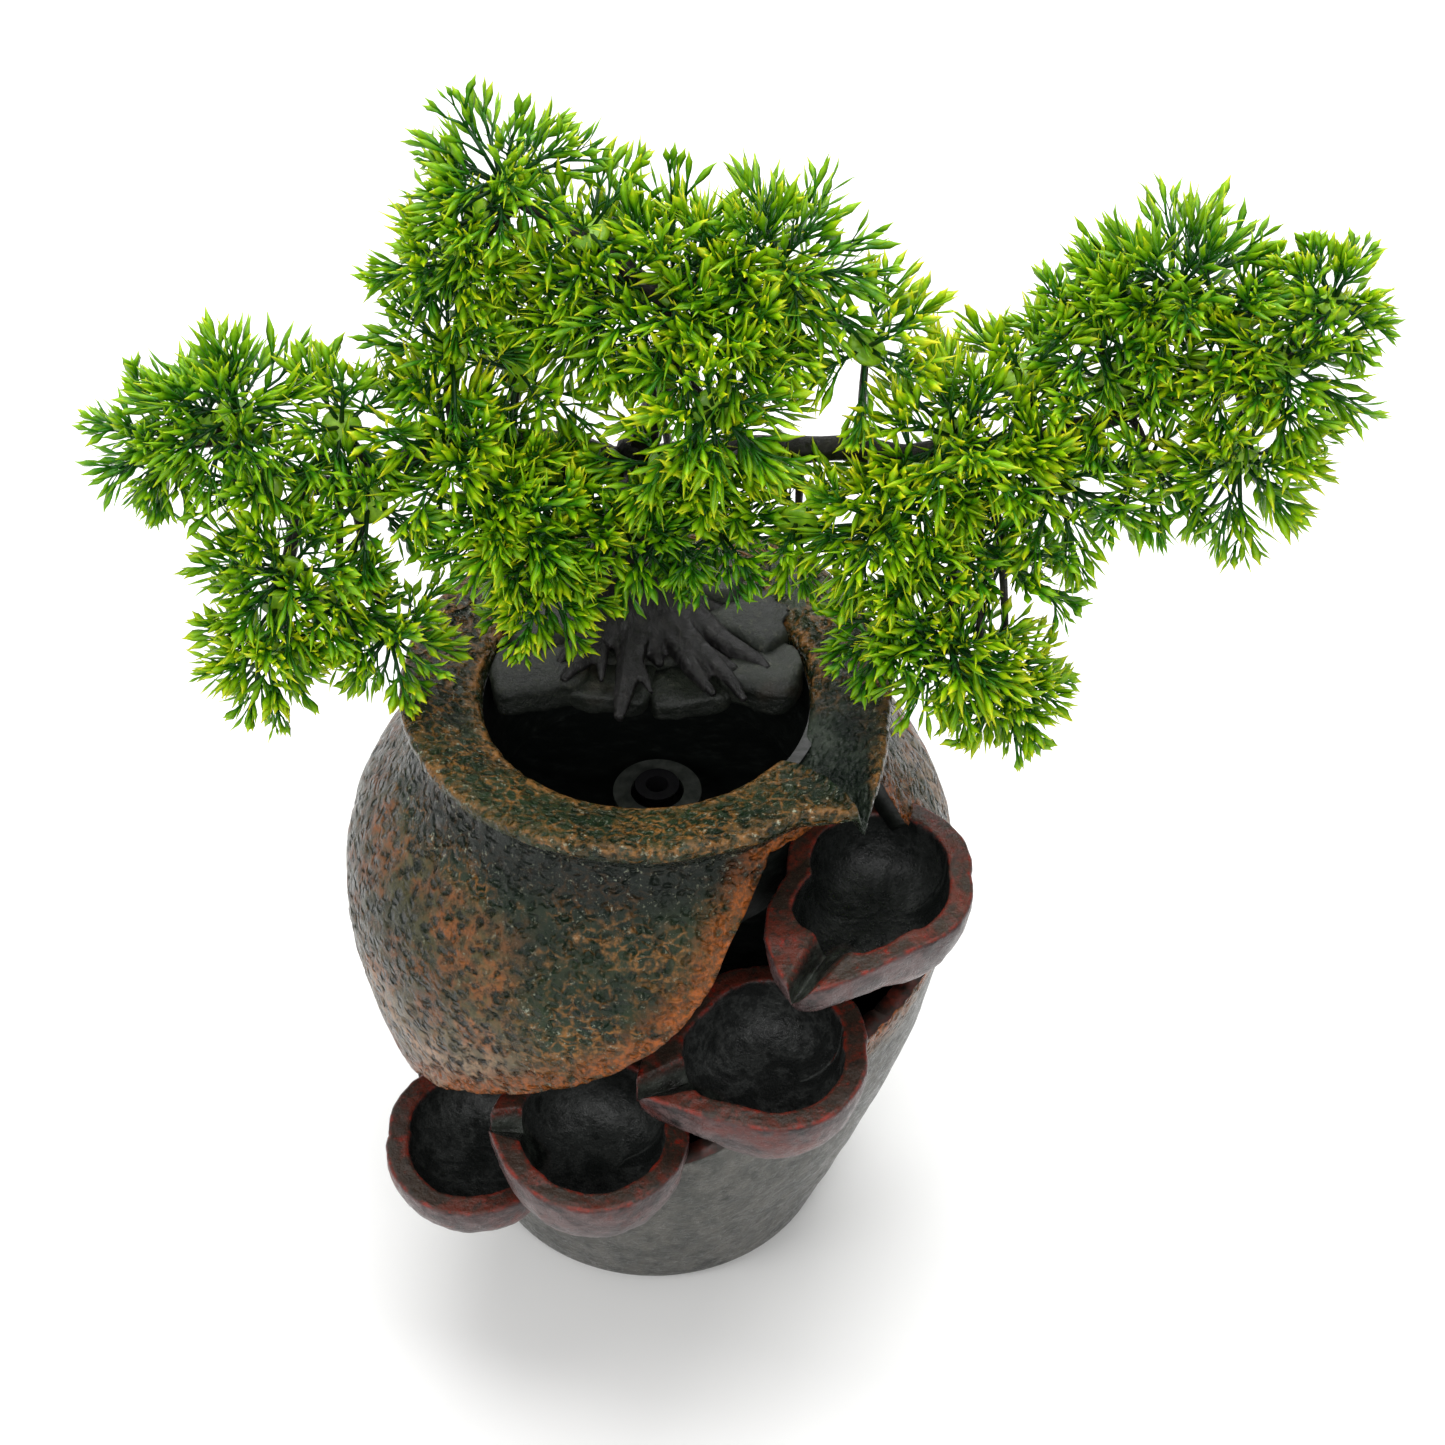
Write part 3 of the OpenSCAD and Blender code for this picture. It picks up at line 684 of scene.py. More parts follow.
def snap_to_cut(p):
    """Moves grid points near the cut onto it. Returns the points, the keep state of each
    (1 kept, 0 on the cut, -1 removed) and the cut's depth there."""
    f = opening(p)
    state = np.where(f > 0, -1, 1)
    moved = p.copy()
    best = np.full(f.shape, 0.5001)
    for axis, wrap in ((0, False), (1, True)):
        for step in (1, -1):
            other = np.roll(p, -step, axis=axis)
            fo = np.roll(f, -step, axis=axis)
            share = f / np.where(f - fo == 0, 1, f - fo)
            cross = (np.sign(f) != np.sign(fo)) & (share <= 0.5) & (share >= 0) & (share < best)
            if not wrap:
                edge = -1 if step == 1 else 0
                cross[edge] = False
            moved[cross] = p[cross] + share[cross][:, None] * (other[cross] - p[cross])
            best[cross] = share[cross]
            state[cross] = 0
    return moved, state, f


def jar_grid():
    """The jar's side and underside as rows and columns of points."""
    outline = jar_outline()
    length = np.linalg.norm(np.diff(outline, axis=0), axis=1).sum()
    steps = np.r_[np.arange(0, FOOT_LENGTH, FOOT_STEP), np.arange(FOOT_LENGTH, length, WALL_STEP), length]
    side = resample(outline, steps)
    side[0] += [0, 1.6]
    bottom = np.stack([[0, 20, 40, 55, FOOT_R - 2.5, FOOT_R - 0.7], [FOOT_Z] * 5 + [FOOT_Z + 0.2]], 1)
    side = np.vstack([bottom, side])
    turn = np.arange(WALL_COLUMNS) / WALL_COLUMNS * TAU
    height = np.repeat(side[:, 1:], WALL_COLUMNS, 1)
    return np.stack([side[:, :1] * np.cos(turn), side[:, :1] * np.sin(turn), height], -1)


def kept_faces(state):
    """The quads outside the cut, and the triangles left of those that lose one corner."""
    quads = grid_faces(*state.shape)
    corners = state.ravel()[quads]
    faces = quads[(corners >= 0).all(1) & (corners > 0).any(1)].tolist()
    for quad, keep in zip(quads.tolist(), corners):
        if (keep < 0).sum() == 1 and keep[(int(np.argmin(keep)) + 2) % 4] > 0:
            faces.append([v for v, k in zip(quad, keep) if k >= 0])
    return faces


def hammered_part(p):
    """1 on the hammered part of the jar's wall, 0 on its smooth foot."""
    x, y, z = p.T
    lower_edge = 118 + 26 * np.cos(np.arctan2(y, x)) + 6 * lumps(p, 22)
    upper = smooth(-7, 7, z - lower_edge)
    front = (y < -10) & (x < 60)
    below = z < np.interp(x, *upper_cut_line().T) - 6
    upper = np.where(front & below, 0, np.where(front & (x > -60), 1, upper))
    return np.where(z < FOOT_Z + 0.5, 0, upper)


def wall_relief(p, upper):
    """How far dimples and lumps move the jar's wall outward, with none round the door."""
    x, y, z = p.T
    relief = (hammer(p, WALL_DIMPLE) - 1) * (0.25 + 0.6 * upper) + lumps(p, 17) * 0.55
    relief *= smooth(FOOT_Z + 1, FOOT_Z + 12, z)
    round_door = smooth(DOOR_HALF + 6, DOOR_HALF - 2, abs(x)) * smooth(90, 82, z) * (y > 0)
    return relief * (1 - round_door)


def jar_wall():
    """The jar's hollow wall, with its cut face where the cascade opens it."""
    grid, state, depth = snap_to_cut(jar_grid())
    p = grid.reshape(-1, 3)
    upper = hammered_part(p)
    radius = np.maximum(np.hypot(p[:, 0], p[:, 1]), 1)
    p[:, :2] *= (1 + wall_relief(p, upper) / radius)[:, None]
    x, y, z = p.T
    belly = smooth(-62, -20, x) * smooth(128, 160, z) * (y < 0)
    pale = smooth(52, 78, x) * smooth(30, -10, y)
    marks = {
        "upper": upper, "edge": smooth(15, 1, -depth.ravel()) * (z > 100), "crest": 0,
        "fine": np.maximum(smooth(150, 105, z), pale),
        "dark": np.maximum(belly, 1.25 * smooth(200, 216, z)), "quiet": 0, "pale": pale,
        # painted shade: the neck band just under the rim is painted nearly black
        "neck": smooth(208, 222, z + 3 * lumps(p, 14)),
    }
    piece = make_piece("jar_wall", p, kept_faces(state), "fountain",
                       [JAR, JAR_INSIDE, CUT], ["jar_shell"], marks)
    weld(piece)
    shell = piece.modifiers.new("wall", "SOLIDIFY")
    shell.thickness = WALL * MM
    shell.offset = -1
    shell.use_even_offset = False
    shell.material_offset = 1
    shell.material_offset_rim = 2
    apply_modifiers(piece)


LIP_TIP = np.array([70.5, -61.0])
LIP_START = np.array([50.0, -24.0])
LIP_REACH = 11.5
LIP_DEPTH = 9.0


def rim_section():
    """The rim's section as a closed ring, as five stretches from under it, over it and in."""
    edge_z = RIM_Z - RIM_ROLL
    turn = np.radians(np.arange(0, 100, 15))
    return [
        cubic((NECK_R - 1, NECK_Z - 2), (NECK_R + 0.4, NECK_Z + 4), (RIM_R - 4, edge_z - 6),
              (RIM_R, edge_z - 1.5), 12),
        np.stack([RIM_R - RIM_ROLL + RIM_ROLL * np.cos(turn), edge_z + RIM_ROLL * np.sin(turn)], 1),
        cubic((RIM_R - RIM_ROLL - 1.2, RIM_Z - 0.05), (72, RIM_Z - 0.5), (64, RIM_Z - 3),
              (POOL_R + 3.5, RIM_Z - 4.4), 15),
        cubic((POOL_R + 2.2, RIM_Z - 5), (POOL_R + 0.4, RIM_Z - 6), (POOL_R, RIM_Z - 8),
              (POOL_R, RIM_Z - 12), 7),
        np.array([[POOL_R + 1, RIM_Z - 14], [60, RIM_Z - 15], [66, RIM_Z - 17], [70, RIM_Z - 17.5]]),
    ]


def lip_groove(x, y):
    """Depth of the lip's V, from 0 to 1, and the height of the fold along its left side."""
    run = LIP_TIP - LIP_START
    length = np.linalg.norm(run)
    run = run / length
    along = ((x - LIP_START[0]) * run[0] + (y - LIP_START[1]) * run[1]) / length
    across = -(x - LIP_START[0]) * run[1] + (y - LIP_START[1]) * run[0]
    rest = np.clip(1 - along, 0, 1.4)
    left_width = 2.6 + 13 * rest**2.6
    right_width = 3.0 + 32 * rest
    side = np.clip(np.where(across < 0, 1 + across / left_width, 1 - across / right_width), 0, 1)
    valley = np.where(across < 0, side**0.75, side**1.15) * smooth(-0.55, 0.12, along)
    fold = np.exp(-(((across + left_width) / 2.2) ** 2))
    return valley, fold * smooth(0.05, 0.35, along) * smooth(1.1, 0.8, along)


def rim_and_lip():
    """The rolled rim as one closed ring, drawn out and down at the right into a V lip."""
    stretches = rim_section()
    ring = np.vstack(stretches)
    first_roll = len(stretches[0])
    first_inner = sum(len(part) for part in stretches[:3])
    turn = np.radians(np.concatenate([
        np.linspace(-180, -80, 120, endpoint=False), np.linspace(-80, 5, 190, endpoint=False),
        np.linspace(5, 180, 200, endpoint=False)]))
    r = np.repeat(ring[:, :1], len(turn), 1)
    z = np.repeat(ring[:, 1:], len(turn), 1)
    tip_turn = math.atan2(LIP_TIP[1], LIP_TIP[0])
    off = np.sqrt((turn - tip_turn) ** 2 + 0.04**2) - 0.04
    right = turn > tip_turn
    width = np.where(right, math.radians(30), math.radians(9))
    peak = np.clip(1 - off / width, 0, 1) ** np.where(right, 1.5, 1.0)
    r = r + LIP_REACH * peak * smooth(POOL_R + 8, RIM_R, r) * smooth(NECK_Z - 2, NECK_Z + 8, z)
    x, y = r * np.cos(turn), r * np.sin(turn)
    valley, fold = lip_groove(x, y)
    z = z + smooth(NECK_Z, RIM_Z - 4, z) * (1.6 * fold - LIP_DEPTH * valley)
    p = np.stack([x, y, z], -1).reshape(-1, 3)
    quiet = np.clip(valley.ravel() * 1.6, 0, 1)
    rows = np.repeat(np.arange(len(ring)), len(turn))
    crest = 0.7 * np.exp(-(((rows - first_roll - 4) / 3) ** 2))
    crest += np.exp(-(((rows - first_inner) / 2) ** 2))
    marks = {"upper": 1 - 0.4 * quiet, "edge": 0, "crest": crest * (1 - quiet), "fine": 0.6, "dark": 1,
             "quiet": smooth(0.15, 0.7, quiet), "pale": 0,
             # painted shade: the underside of the rim's roll is painted nearly black
             "neck": smooth(first_roll - 1, first_roll - 6, rows)}
    faces = grid_faces(len(ring), len(turn), wrap_rows=True)
    piece = make_piece("jar_rim", p, faces, "fountain", JAR, ["jar_shell"], marks)
    weld(piece)
    amount = (hammer(p, RIM_DIMPLE, 9.0) - 1) * 0.5 * (1 - quiet) + lumps(p, 15) * 0.5
    amount *= smooth(NECK_Z - 2, NECK_Z + 5, p[:, 2]) * (rows < len(ring) - 5)
    set_points(piece.data, p + read_points(piece.data)[1] * amount[:, None])


jar_wall()
rim_and_lip()

# ---------------- bowls


def bowl_radius(turn, half):
    """Radius of a bowl's rim, which is deeper than it is wide."""
    return BOWL_STRETCH * abs(np.sin(turn)) + np.sqrt(half**2 - (BOWL_STRETCH * np.cos(turn)) ** 2)


def bowl_rings(b, base, hole, stretch):
    """Radius, height and kind of each ring of a bowl, from under it, over its rim and in."""
    rings = []
    for angle in np.radians(np.r_[90, 84, np.arange(76, 10, -5.5), 9, 6]):
        keep = 1 - smooth(0.16, 0.55, angle / (math.pi / 2))
        r = base * math.cos(angle) ** 0.8 + stretch * keep
        rings.append((r, -b["drop"] * math.sin(angle), "wall"))
    for inset, fall in ((0, 1.4), (0.15, 0.7), (0.6, 0.2), (1.3, 0)):
        rings.append((base + stretch - inset, -fall, "wall" if fall > 0.5 else "edge"))
    for share in np.linspace(0.06, 0.94, 11):
        rings.append(((base + stretch - 1.3) * (1 - share) + (hole + 1.1) * share, 0, "rim"))
    for inset, fall in ((0.5, 0.15), (0.1, 0.7), (-0.1, 1.6)):
        rings.append((hole + inset, -fall, "edge" if fall < 0.5 else "inside"))
    deep = b["drop"] - BOWL_BOTTOM - 1.6
    for angle in np.radians(np.r_[np.arange(8, 86, 6), 90]):
        rings.append((hole * math.cos(angle) ** 0.5, -1.6 - deep * math.sin(angle), "inside"))
    r, z, kinds = zip(*rings)
    return np.array(r), np.repeat(np.array(z, float)[:, None], len(base), 1), np.array(kinds)


def spout_groove(b, x, y):
    """Depth of the channel along a bowl's spout."""
    if not b["reach"]:
        return np.zeros_like(x)
    ahead = x * math.cos(b["turn"]) + y * math.sin(b["turn"])
    lean = -x * math.sin(b["turn"]) + y * math.cos(b["turn"]) + 2.5
    start = b["half"] - BOWL_RIM - 6
    share = np.clip((ahead - start) / (b["reach"] - start), 0, 1)
    wide = 11.5 - 6.5 * share
    side = np.clip(1 - np.where(lean < 0, -lean / (0.5 * wide), lean / (1.15 * wide)), 0, 1)
    return (9.5 - 1.5 * share) * side**0.85 * smooth(start - 4, start + 4, ahead)


def bowl(number, b):
    """A thick-walled bowl. Its columns crowd round the spout, if it has one."""
    t = (np.arange(BOWL_COLUMNS) / BOWL_COLUMNS) * 2 - 1
    away = np.sign(t) * abs(t) ** (1.7 if b["reach"] else 1.0) * math.pi
    turn = b["turn"] + away
    base = bowl_radius(turn, b["half"])
    off = np.sqrt(away**2 + 0.05**2) - 0.05
    wide = np.where(away > 0, math.radians(50), math.radians(62))
    spout = np.clip(1 - off / wide, 0, 1) ** np.where(away > 0, 2.1, 1.35)
    stretch = np.maximum(b["reach"] - base, 0) * spout
    hole = bowl_radius(turn, b["half"] - BOWL_RIM) + stretch * (0.85 - 0.5 * smooth(0.25, 1, spout))
    r, z, kinds = bowl_rings(b, base, hole, stretch)
    x, y = r * np.cos(turn), r * np.sin(turn)
    groove = spout_groove(b, x, y)
    z = np.minimum(z, np.where(z > -9, -groove, z))
    wobble = 0.5 * np.sin(3 * turn + number) + 0.35 * np.sin(5 * turn + 2 * number)
    z = z + wobble * smooth(-12, 0, z) * 0.7
    p = np.stack([x + b["x"], y + b["y"], z + b["z"]], -1).reshape(-1, 3)
    groove = groove.ravel()
    ring = np.repeat(np.arange(len(kinds)), BOWL_COLUMNS)
    inside = kinds[ring] == "inside"
    rim = (kinds[ring] == "rim") | (kinds[ring] == "edge")
    edges = np.flatnonzero(kinds == "edge")
    near = np.minimum(abs(ring - edges[0]), abs(ring - edges[-1]))
    crest = smooth(1.0, 0.0, abs(groove - 0.9)) * rim
    in_groove = smooth(1.5, 4.0, groove) * (rim | inside)
    marks = {"rim": rim * (1 - 0.55 * in_groove), "inside": inside * (1 - 0.5 * in_groove),
             "edge": np.maximum(smooth(1.8, 0.0, near), crest) * (1 - in_groove), "spout": in_groove,
             "around": np.tile(turn, len(kinds)), "out": r, "pale": BOWL_STROKES_AND_SHADE[number - 1]}
    piece = make_piece(f"bowl_{number}_body", p, grid_faces(*r.shape), "fountain", BOWL,
                       [f"bowl_{number}"], marks)
    weld(piece)
    roughen(piece, 8, 0.55, number * 3.1)


for bowl_number, bowl_size in enumerate(BOWLS, 1):
    bowl(bowl_number, bowl_size)

# ---------------- rock ledge


def rock_block(name, centre, size, turn, seed):
    """One rock: a block with rounded, chipped faces, kept within the pool's wall."""
    work = bmesh.new()
    bmesh.ops.create_cube(work, size=1.0)
    bmesh.ops.subdivide_edges(work, edges=work.edges, cuts=23, use_grid_fill=True)
    p = np.array([v.co for v in work.verts]) * 2
    faces = [[v.index for v in f.verts] for f in work.faces]
    work.free()
    p = p / (np.abs(p) ** 5).sum(1, keepdims=True) ** 0.2 * np.array(size) / 2
    c, s = math.cos(turn), math.sin(turn)
    p = np.stack([p[:, 0] * c - p[:, 1] * s, p[:, 0] * s + p[:, 1] * c, p[:, 2]], 1) + centre
    chip = np.array([cell_distance(Vector(q) / 13 + Vector((seed, 0, 0))) for q in p])
    middle = np.array(centre)
    p = middle + (p - middle) * (0.93 + 0.14 * chip)[:, None]
    p += lumps(p, 6, 3, seed)[:, None] * 0.5
    radius = np.hypot(p[:, 0], p[:, 1])
    outside = (radius > POOL_R - 0.8) & (p[:, 2] < RIM_Z - 2)
    p[outside, :2] *= ((POOL_R - 0.8) / radius[outside])[:, None]
    make_piece(name, p, faces, "fountain", ROCK, ["rock_ledge"])


LEDGE_ROCKS = [
    ((-37, 13, LEDGE_TOP - 4.5), (32, 24, 13), 0.3),
    ((-12, 11, LEDGE_TOP - 6.5), (28, 21, 9), -0.2),
    ((14, 9, LEDGE_TOP - 7.5), (28, 18, 9), 0.18),
    ((39, 13, LEDGE_TOP - 4), (26, 25, 14), -0.34),
    ((-32, 33, LEDGE_TOP - 2), (34, 22, 16), 0.5),
    ((0, 34, LEDGE_TOP - 6), (46, 34, 12), 0.0),
    ((34, 34, LEDGE_TOP - 2), (32, 24, 18), -0.6),
    ((-14, 46, LEDGE_TOP + 1), (30, 15, 20), 0.2),
    ((16, 46, LEDGE_TOP + 2), (32, 15, 22), -0.25),
]
for index, (rock_centre, rock_size, rock_turn) in enumerate(LEDGE_ROCKS):
    rock_block(f"ledge_rock_{index + 1}", rock_centre, rock_size, rock_turn, index * 5.3)

# ---------------- tree


def tube(path, radii, sides, groove=0.0, lobes=5, phase=0.0):
    """Points and faces of a tube along a path, with lengthwise grooves."""
    path = np.asarray(path, float)
    tangent = np.gradient(path, axis=0)
    tangent /= np.linalg.norm(tangent, axis=1, keepdims=True)
    side = np.cross(tangent[0], [0.3, 0.5, 0.8])
    side /= np.linalg.norm(side)
    rings = []
    turn = np.arange(sides) / sides * TAU
    for centre, direction, radius in zip(path, tangent, radii):
        side = side - direction * side.dot(direction)
        side /= np.linalg.norm(side)
        up = np.cross(direction, side)
        r = radius * (1 + groove * np.cos(lobes * turn + phase))
        rings.append(centre + r[:, None] * (np.cos(turn)[:, None] * side + np.sin(turn)[:, None] * up))
    points = np.vstack(rings + [path[:1], path[-1:]])
    count = len(path)
    faces = grid_faces(count, sides).tolist()
    for i in range(sides):
        j = (i + 1) % sides
        faces.append([count * sides, j, i])
        faces.append([count * sides + 1, (count - 1) * sides + i, (count - 1) * sides + j])
    return points, faces


class Bundle:
    """Collects tubes or other shapes into one mesh."""

    def __init__(self):
        self.points, self.faces, self.total = [], [], 0

    def add(self, points, faces):
        self.points.append(points)
        self.faces += [[v + self.total for v in f] for f in faces]
        self.total += len(points)

    def piece(self, name, slot, material, node):
        return make_piece(name, np.vstack(self.points), self.faces, "tree", material, [node])


FORK = np.array([-3, TRUNK_Y + 4, 300.0])
TRUNK_FOOT = np.array([-2, TRUNK_Y, LEDGE_TOP + 2.0])
TWIST = 0.9
SHORTEST_ROOT = 19
LONG_ROOT = 40
ROOT_REACH = {-95: 52, -66: 47, -52: 55, -30: 52, -12: 50, 6: 45, -122: 44, -140: 38, 150: 36,
              78: 24, 120: 22, 40: 30, 175: 30, -110: 30, -80: 28}


def root_path(core, turn, reach):
    """A strand that twists down the trunk's core and runs out over the rocks as a root."""
    strand = []
    for height, distance in ((FORK[2] + 2, 4.5), (284, 7), (266, 9.5), (252, 12), (244, 17)):
        centre = core[int(np.argmin(abs(core[:, 2] - height)))]
        a = turn + TWIST * (height - LEDGE_TOP) / (FORK[2] - LEDGE_TOP)
        strand.append([centre[0] + distance * math.cos(a), centre[1] + distance * math.sin(a), height])
    bend = rng.uniform(-0.16, 0.16)
    for share in (0.55, 0.8, 1.0):
        d = reach * share
        if d >= SHORTEST_ROOT:
            a = turn + bend * share
            x, y = TRUNK_FOOT[0] + d * math.cos(a), TRUNK_FOOT[1] + d * math.sin(a)
            height = LEDGE_TOP + 5.5 * (1 - share) + 1.5 + rng.uniform(-0.4, 0.6) - (2.5 if y < 0 else 0)
            strand.append([x, y, height])
    return spline(strand, 46)


def trunk():
    """A bundle of strands, run together, that spread over the rocks as roots."""
    bundle = Bundle()
    core = spline([TRUNK_FOOT, (-6, TRUNK_Y + 3, 262), (-1, TRUNK_Y + 6, 282), FORK, FORK + [1, 0, 8]], 30)
    bundle.add(*tube(core, np.linspace(12, 5.5, 30), 20))
    for number, (degrees, reach) in enumerate(ROOT_REACH.items()):
        turn = math.radians(degrees)
        path = wander(root_path(core, turn, reach), 11, 0.9, number * 7.7, 1)
        radii = np.interp(np.linspace(0, 1, 46), [0, 0.35, 0.6, 0.85, 1], [2.4, 4.2, 5.4, 3.4, 1.6])
        bundle.add(*tube(path, radii * rng.uniform(0.8, 1.1), 14, 0.12, 5, number))
        if reach > LONG_ROOT:
            start = path[31]
            away = turn + rng.choice([-1, 1]) * rng.uniform(0.35, 0.6)
            small = spline([start, start + [9 * math.cos(away), 9 * math.sin(away), -1.5],
                            start + [17 * math.cos(away), 17 * math.sin(away), -3.4]], 14)
            bundle.add(*tube(small, np.linspace(2.8, 1.0, 14), 10, 0.1, 4))
    piece = bundle.piece("trunk_and_roots", "bark", BARK, "trunk")
    union = piece.modifiers.new("union", "REMESH")
    union.mode = "VOXEL"
    union.voxel_size = 0.85 * MM
    union.use_smooth_shade = True
    apply_modifiers(piece)
    piece.data.materials.clear()
    piece.data.materials.append(BARK)
    p, normals = read_points(piece.data)
    a = np.arctan2(p[:, 1] - TRUNK_Y, p[:, 0])
    out = np.hypot(p[:, 1] - TRUNK_Y, p[:, 0])
    lines = np.stack([np.cos(a) * 9, np.sin(a) * 9, (p[:, 2] + out) / 26], 1)
    grain = np.array([noise.noise(Vector(q)) for q in lines])
    p += normals * (0.7 * grain * (p[:, 2] > LEDGE_TOP - 1))[:, None]
    p[:, 2] = np.where(p[:, 1] > 2, np.maximum(p[:, 2], LEDGE_TOP - 3), p[:, 2])
    set_points(piece.data, p)
    piece.data.shade_smooth()


trunk()

BRANCHES = {
    "branch_left": [FORK + [-3, 0, -2], (-34, 32, 316), (-68, 24, 318), (-100, 16, 312), (-132, 20, 326)],
    "branch_right": [FORK + [3, 0, -2], (40, 30, 316), (84, 22, 320), (126, 26, 322), (168, 32, 334),
                     (196, 26, 344)],
    "branch_top": [FORK + [0, 0, 0], (8, TRUNK_Y, 345), (2, TRUNK_Y, 372), (-36, TRUNK_Y + 8, 398)],
}
branch_lines = []
for name, path in BRANCHES.items():
    line = wander(spline(path, 70), 19, 1.6, 0, 5.0)
    line[0] = path[0]
    branch_lines.append(line[6:])
    knots = 1 + 0.12 * lumps(line, 5, 2, 4.0)
    points, faces = tube(line, np.linspace(5.2, 1.7, len(line)) * knots, 14, 0.07, 6)
    make_piece(f"{name}_wire", points, faces, "tree", WIRE, [name])
branch_points = np.vstack(branch_lines)


def nearest_branch(hub):
    return branch_points[int(np.argmin(np.linalg.norm(branch_points - hub, axis=1)))]


# ---------------- sprigs of needles

STEM_RINGS = np.array([0.0, 0.5, 1.0])
STEM_WIDTH = np.array([0.85, 0.72, 0.6])
SIDE_WIDTH = np.array([0.6, 0.52, 0.46])
NEEDLE_RINGS = np.array([0.0, 0.28, 0.46, 0.62, 0.8, 1.0])
NEEDLE_WIDTH = np.array([0.46, 0.52, 1.2, 1.42, 0.58, 0.12])
FILL_SPACE = 15
FILL_LEAST_GAP = 26
FILL_GAP = 1.12
FILL_SIZE = 0.42
FILL_FULLNESS = 0.62


def unit(v):
    return v / np.maximum(np.linalg.norm(v, axis=-1, keepdims=True), 1e-9)


def spikes(start, direction, length, bend, width, rings, flat, local):
    """Many four-sided spindles at once. width gives the half width at each ring."""
    count = len(start)
    side = unit(np.cross(direction, local.normal(size=(count, 3))))
    up = np.cross(side, direction)
    t = rings[None, :, None]
    centre = start[:, None] + direction[:, None] * length[:, None, None] * t + bend[:, None] * t**2
    w = width[:, :, None]
    corners = np.stack([centre + side[:, None] * w, centre + up[:, None] * w * flat,
                        centre - side[:, None] * w, centre - up[:, None] * w * flat], 2)
    k = len(rings)
    base = (np.arange(count) * k * 4)[:, None, None]
    caps = np.array([[3, 2, 1, 0], [(k - 1) * 4 + i for i in range(4)]])
    faces = (base + np.vstack([grid_faces(k, 4), caps])[None]).reshape(-1, 4)
    return corners.reshape(-1, 3), faces


def centres_of_solids(node):
    """The middle of each separate solid of a CAD node."""
    work = bmesh.new()
    work.from_mesh(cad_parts[node].data)
    bmesh.ops.remove_doubles(work, verts=work.verts, dist=0.001 * MM)
    centres, seen = [], set()
    for first in work.verts:
        if first in seen:
            continue
        group, stack = [], [first]
        seen.add(first)
        while stack:
            vert = stack.pop()
            group.append(vert.co[:])
            for edge in vert.link_edges:
                other = edge.other_vert(vert)
                if other not in seen:
                    seen.add(other)
                    stack.append(other)
        group = np.array(group) / MM
        centres.append((group.min(0) + group.max(0)) / 2)
    work.free()
    return centres


FOLIAGE = sorted(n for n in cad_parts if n.startswith("foliage_"))
foliage_points = {n: np.array([v.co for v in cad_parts[n].data.vertices]) / MM for n in FOLIAGE}


def ball_round(hub):
    """The foliage mass that has a ball centred on a hub, and the ball's radius."""
    best = (0, "", 0.0)
    for node in FOLIAGE:
        far = np.sort(np.linalg.norm(foliage_points[node] - hub, axis=1))
        same = np.searchsorted(far, far + 0.03) - np.arange(len(far))
        k = int(np.argmax(same))
        if same[k] > best[0]:
            best = (int(same[k]), node, float(far[k]))
    return best[1], best[2]


def fan(place, ray, share, angles, local):
    """Forks each ray at the given angles, all in one plane. Returns where they start, their
    directions and their share of the tone."""
    axis = unit(np.cross(ray, local.normal(size=ray.shape)))
    rays = [unit(ray * math.cos(a) + axis * math.sin(a) + local.normal(0, 0.07, ray.shape))
            for a in angles]
    count = len(angles)
    return np.repeat(place, count, 0), np.stack(rays, 1).reshape(-1, 3), np.repeat(share, count)


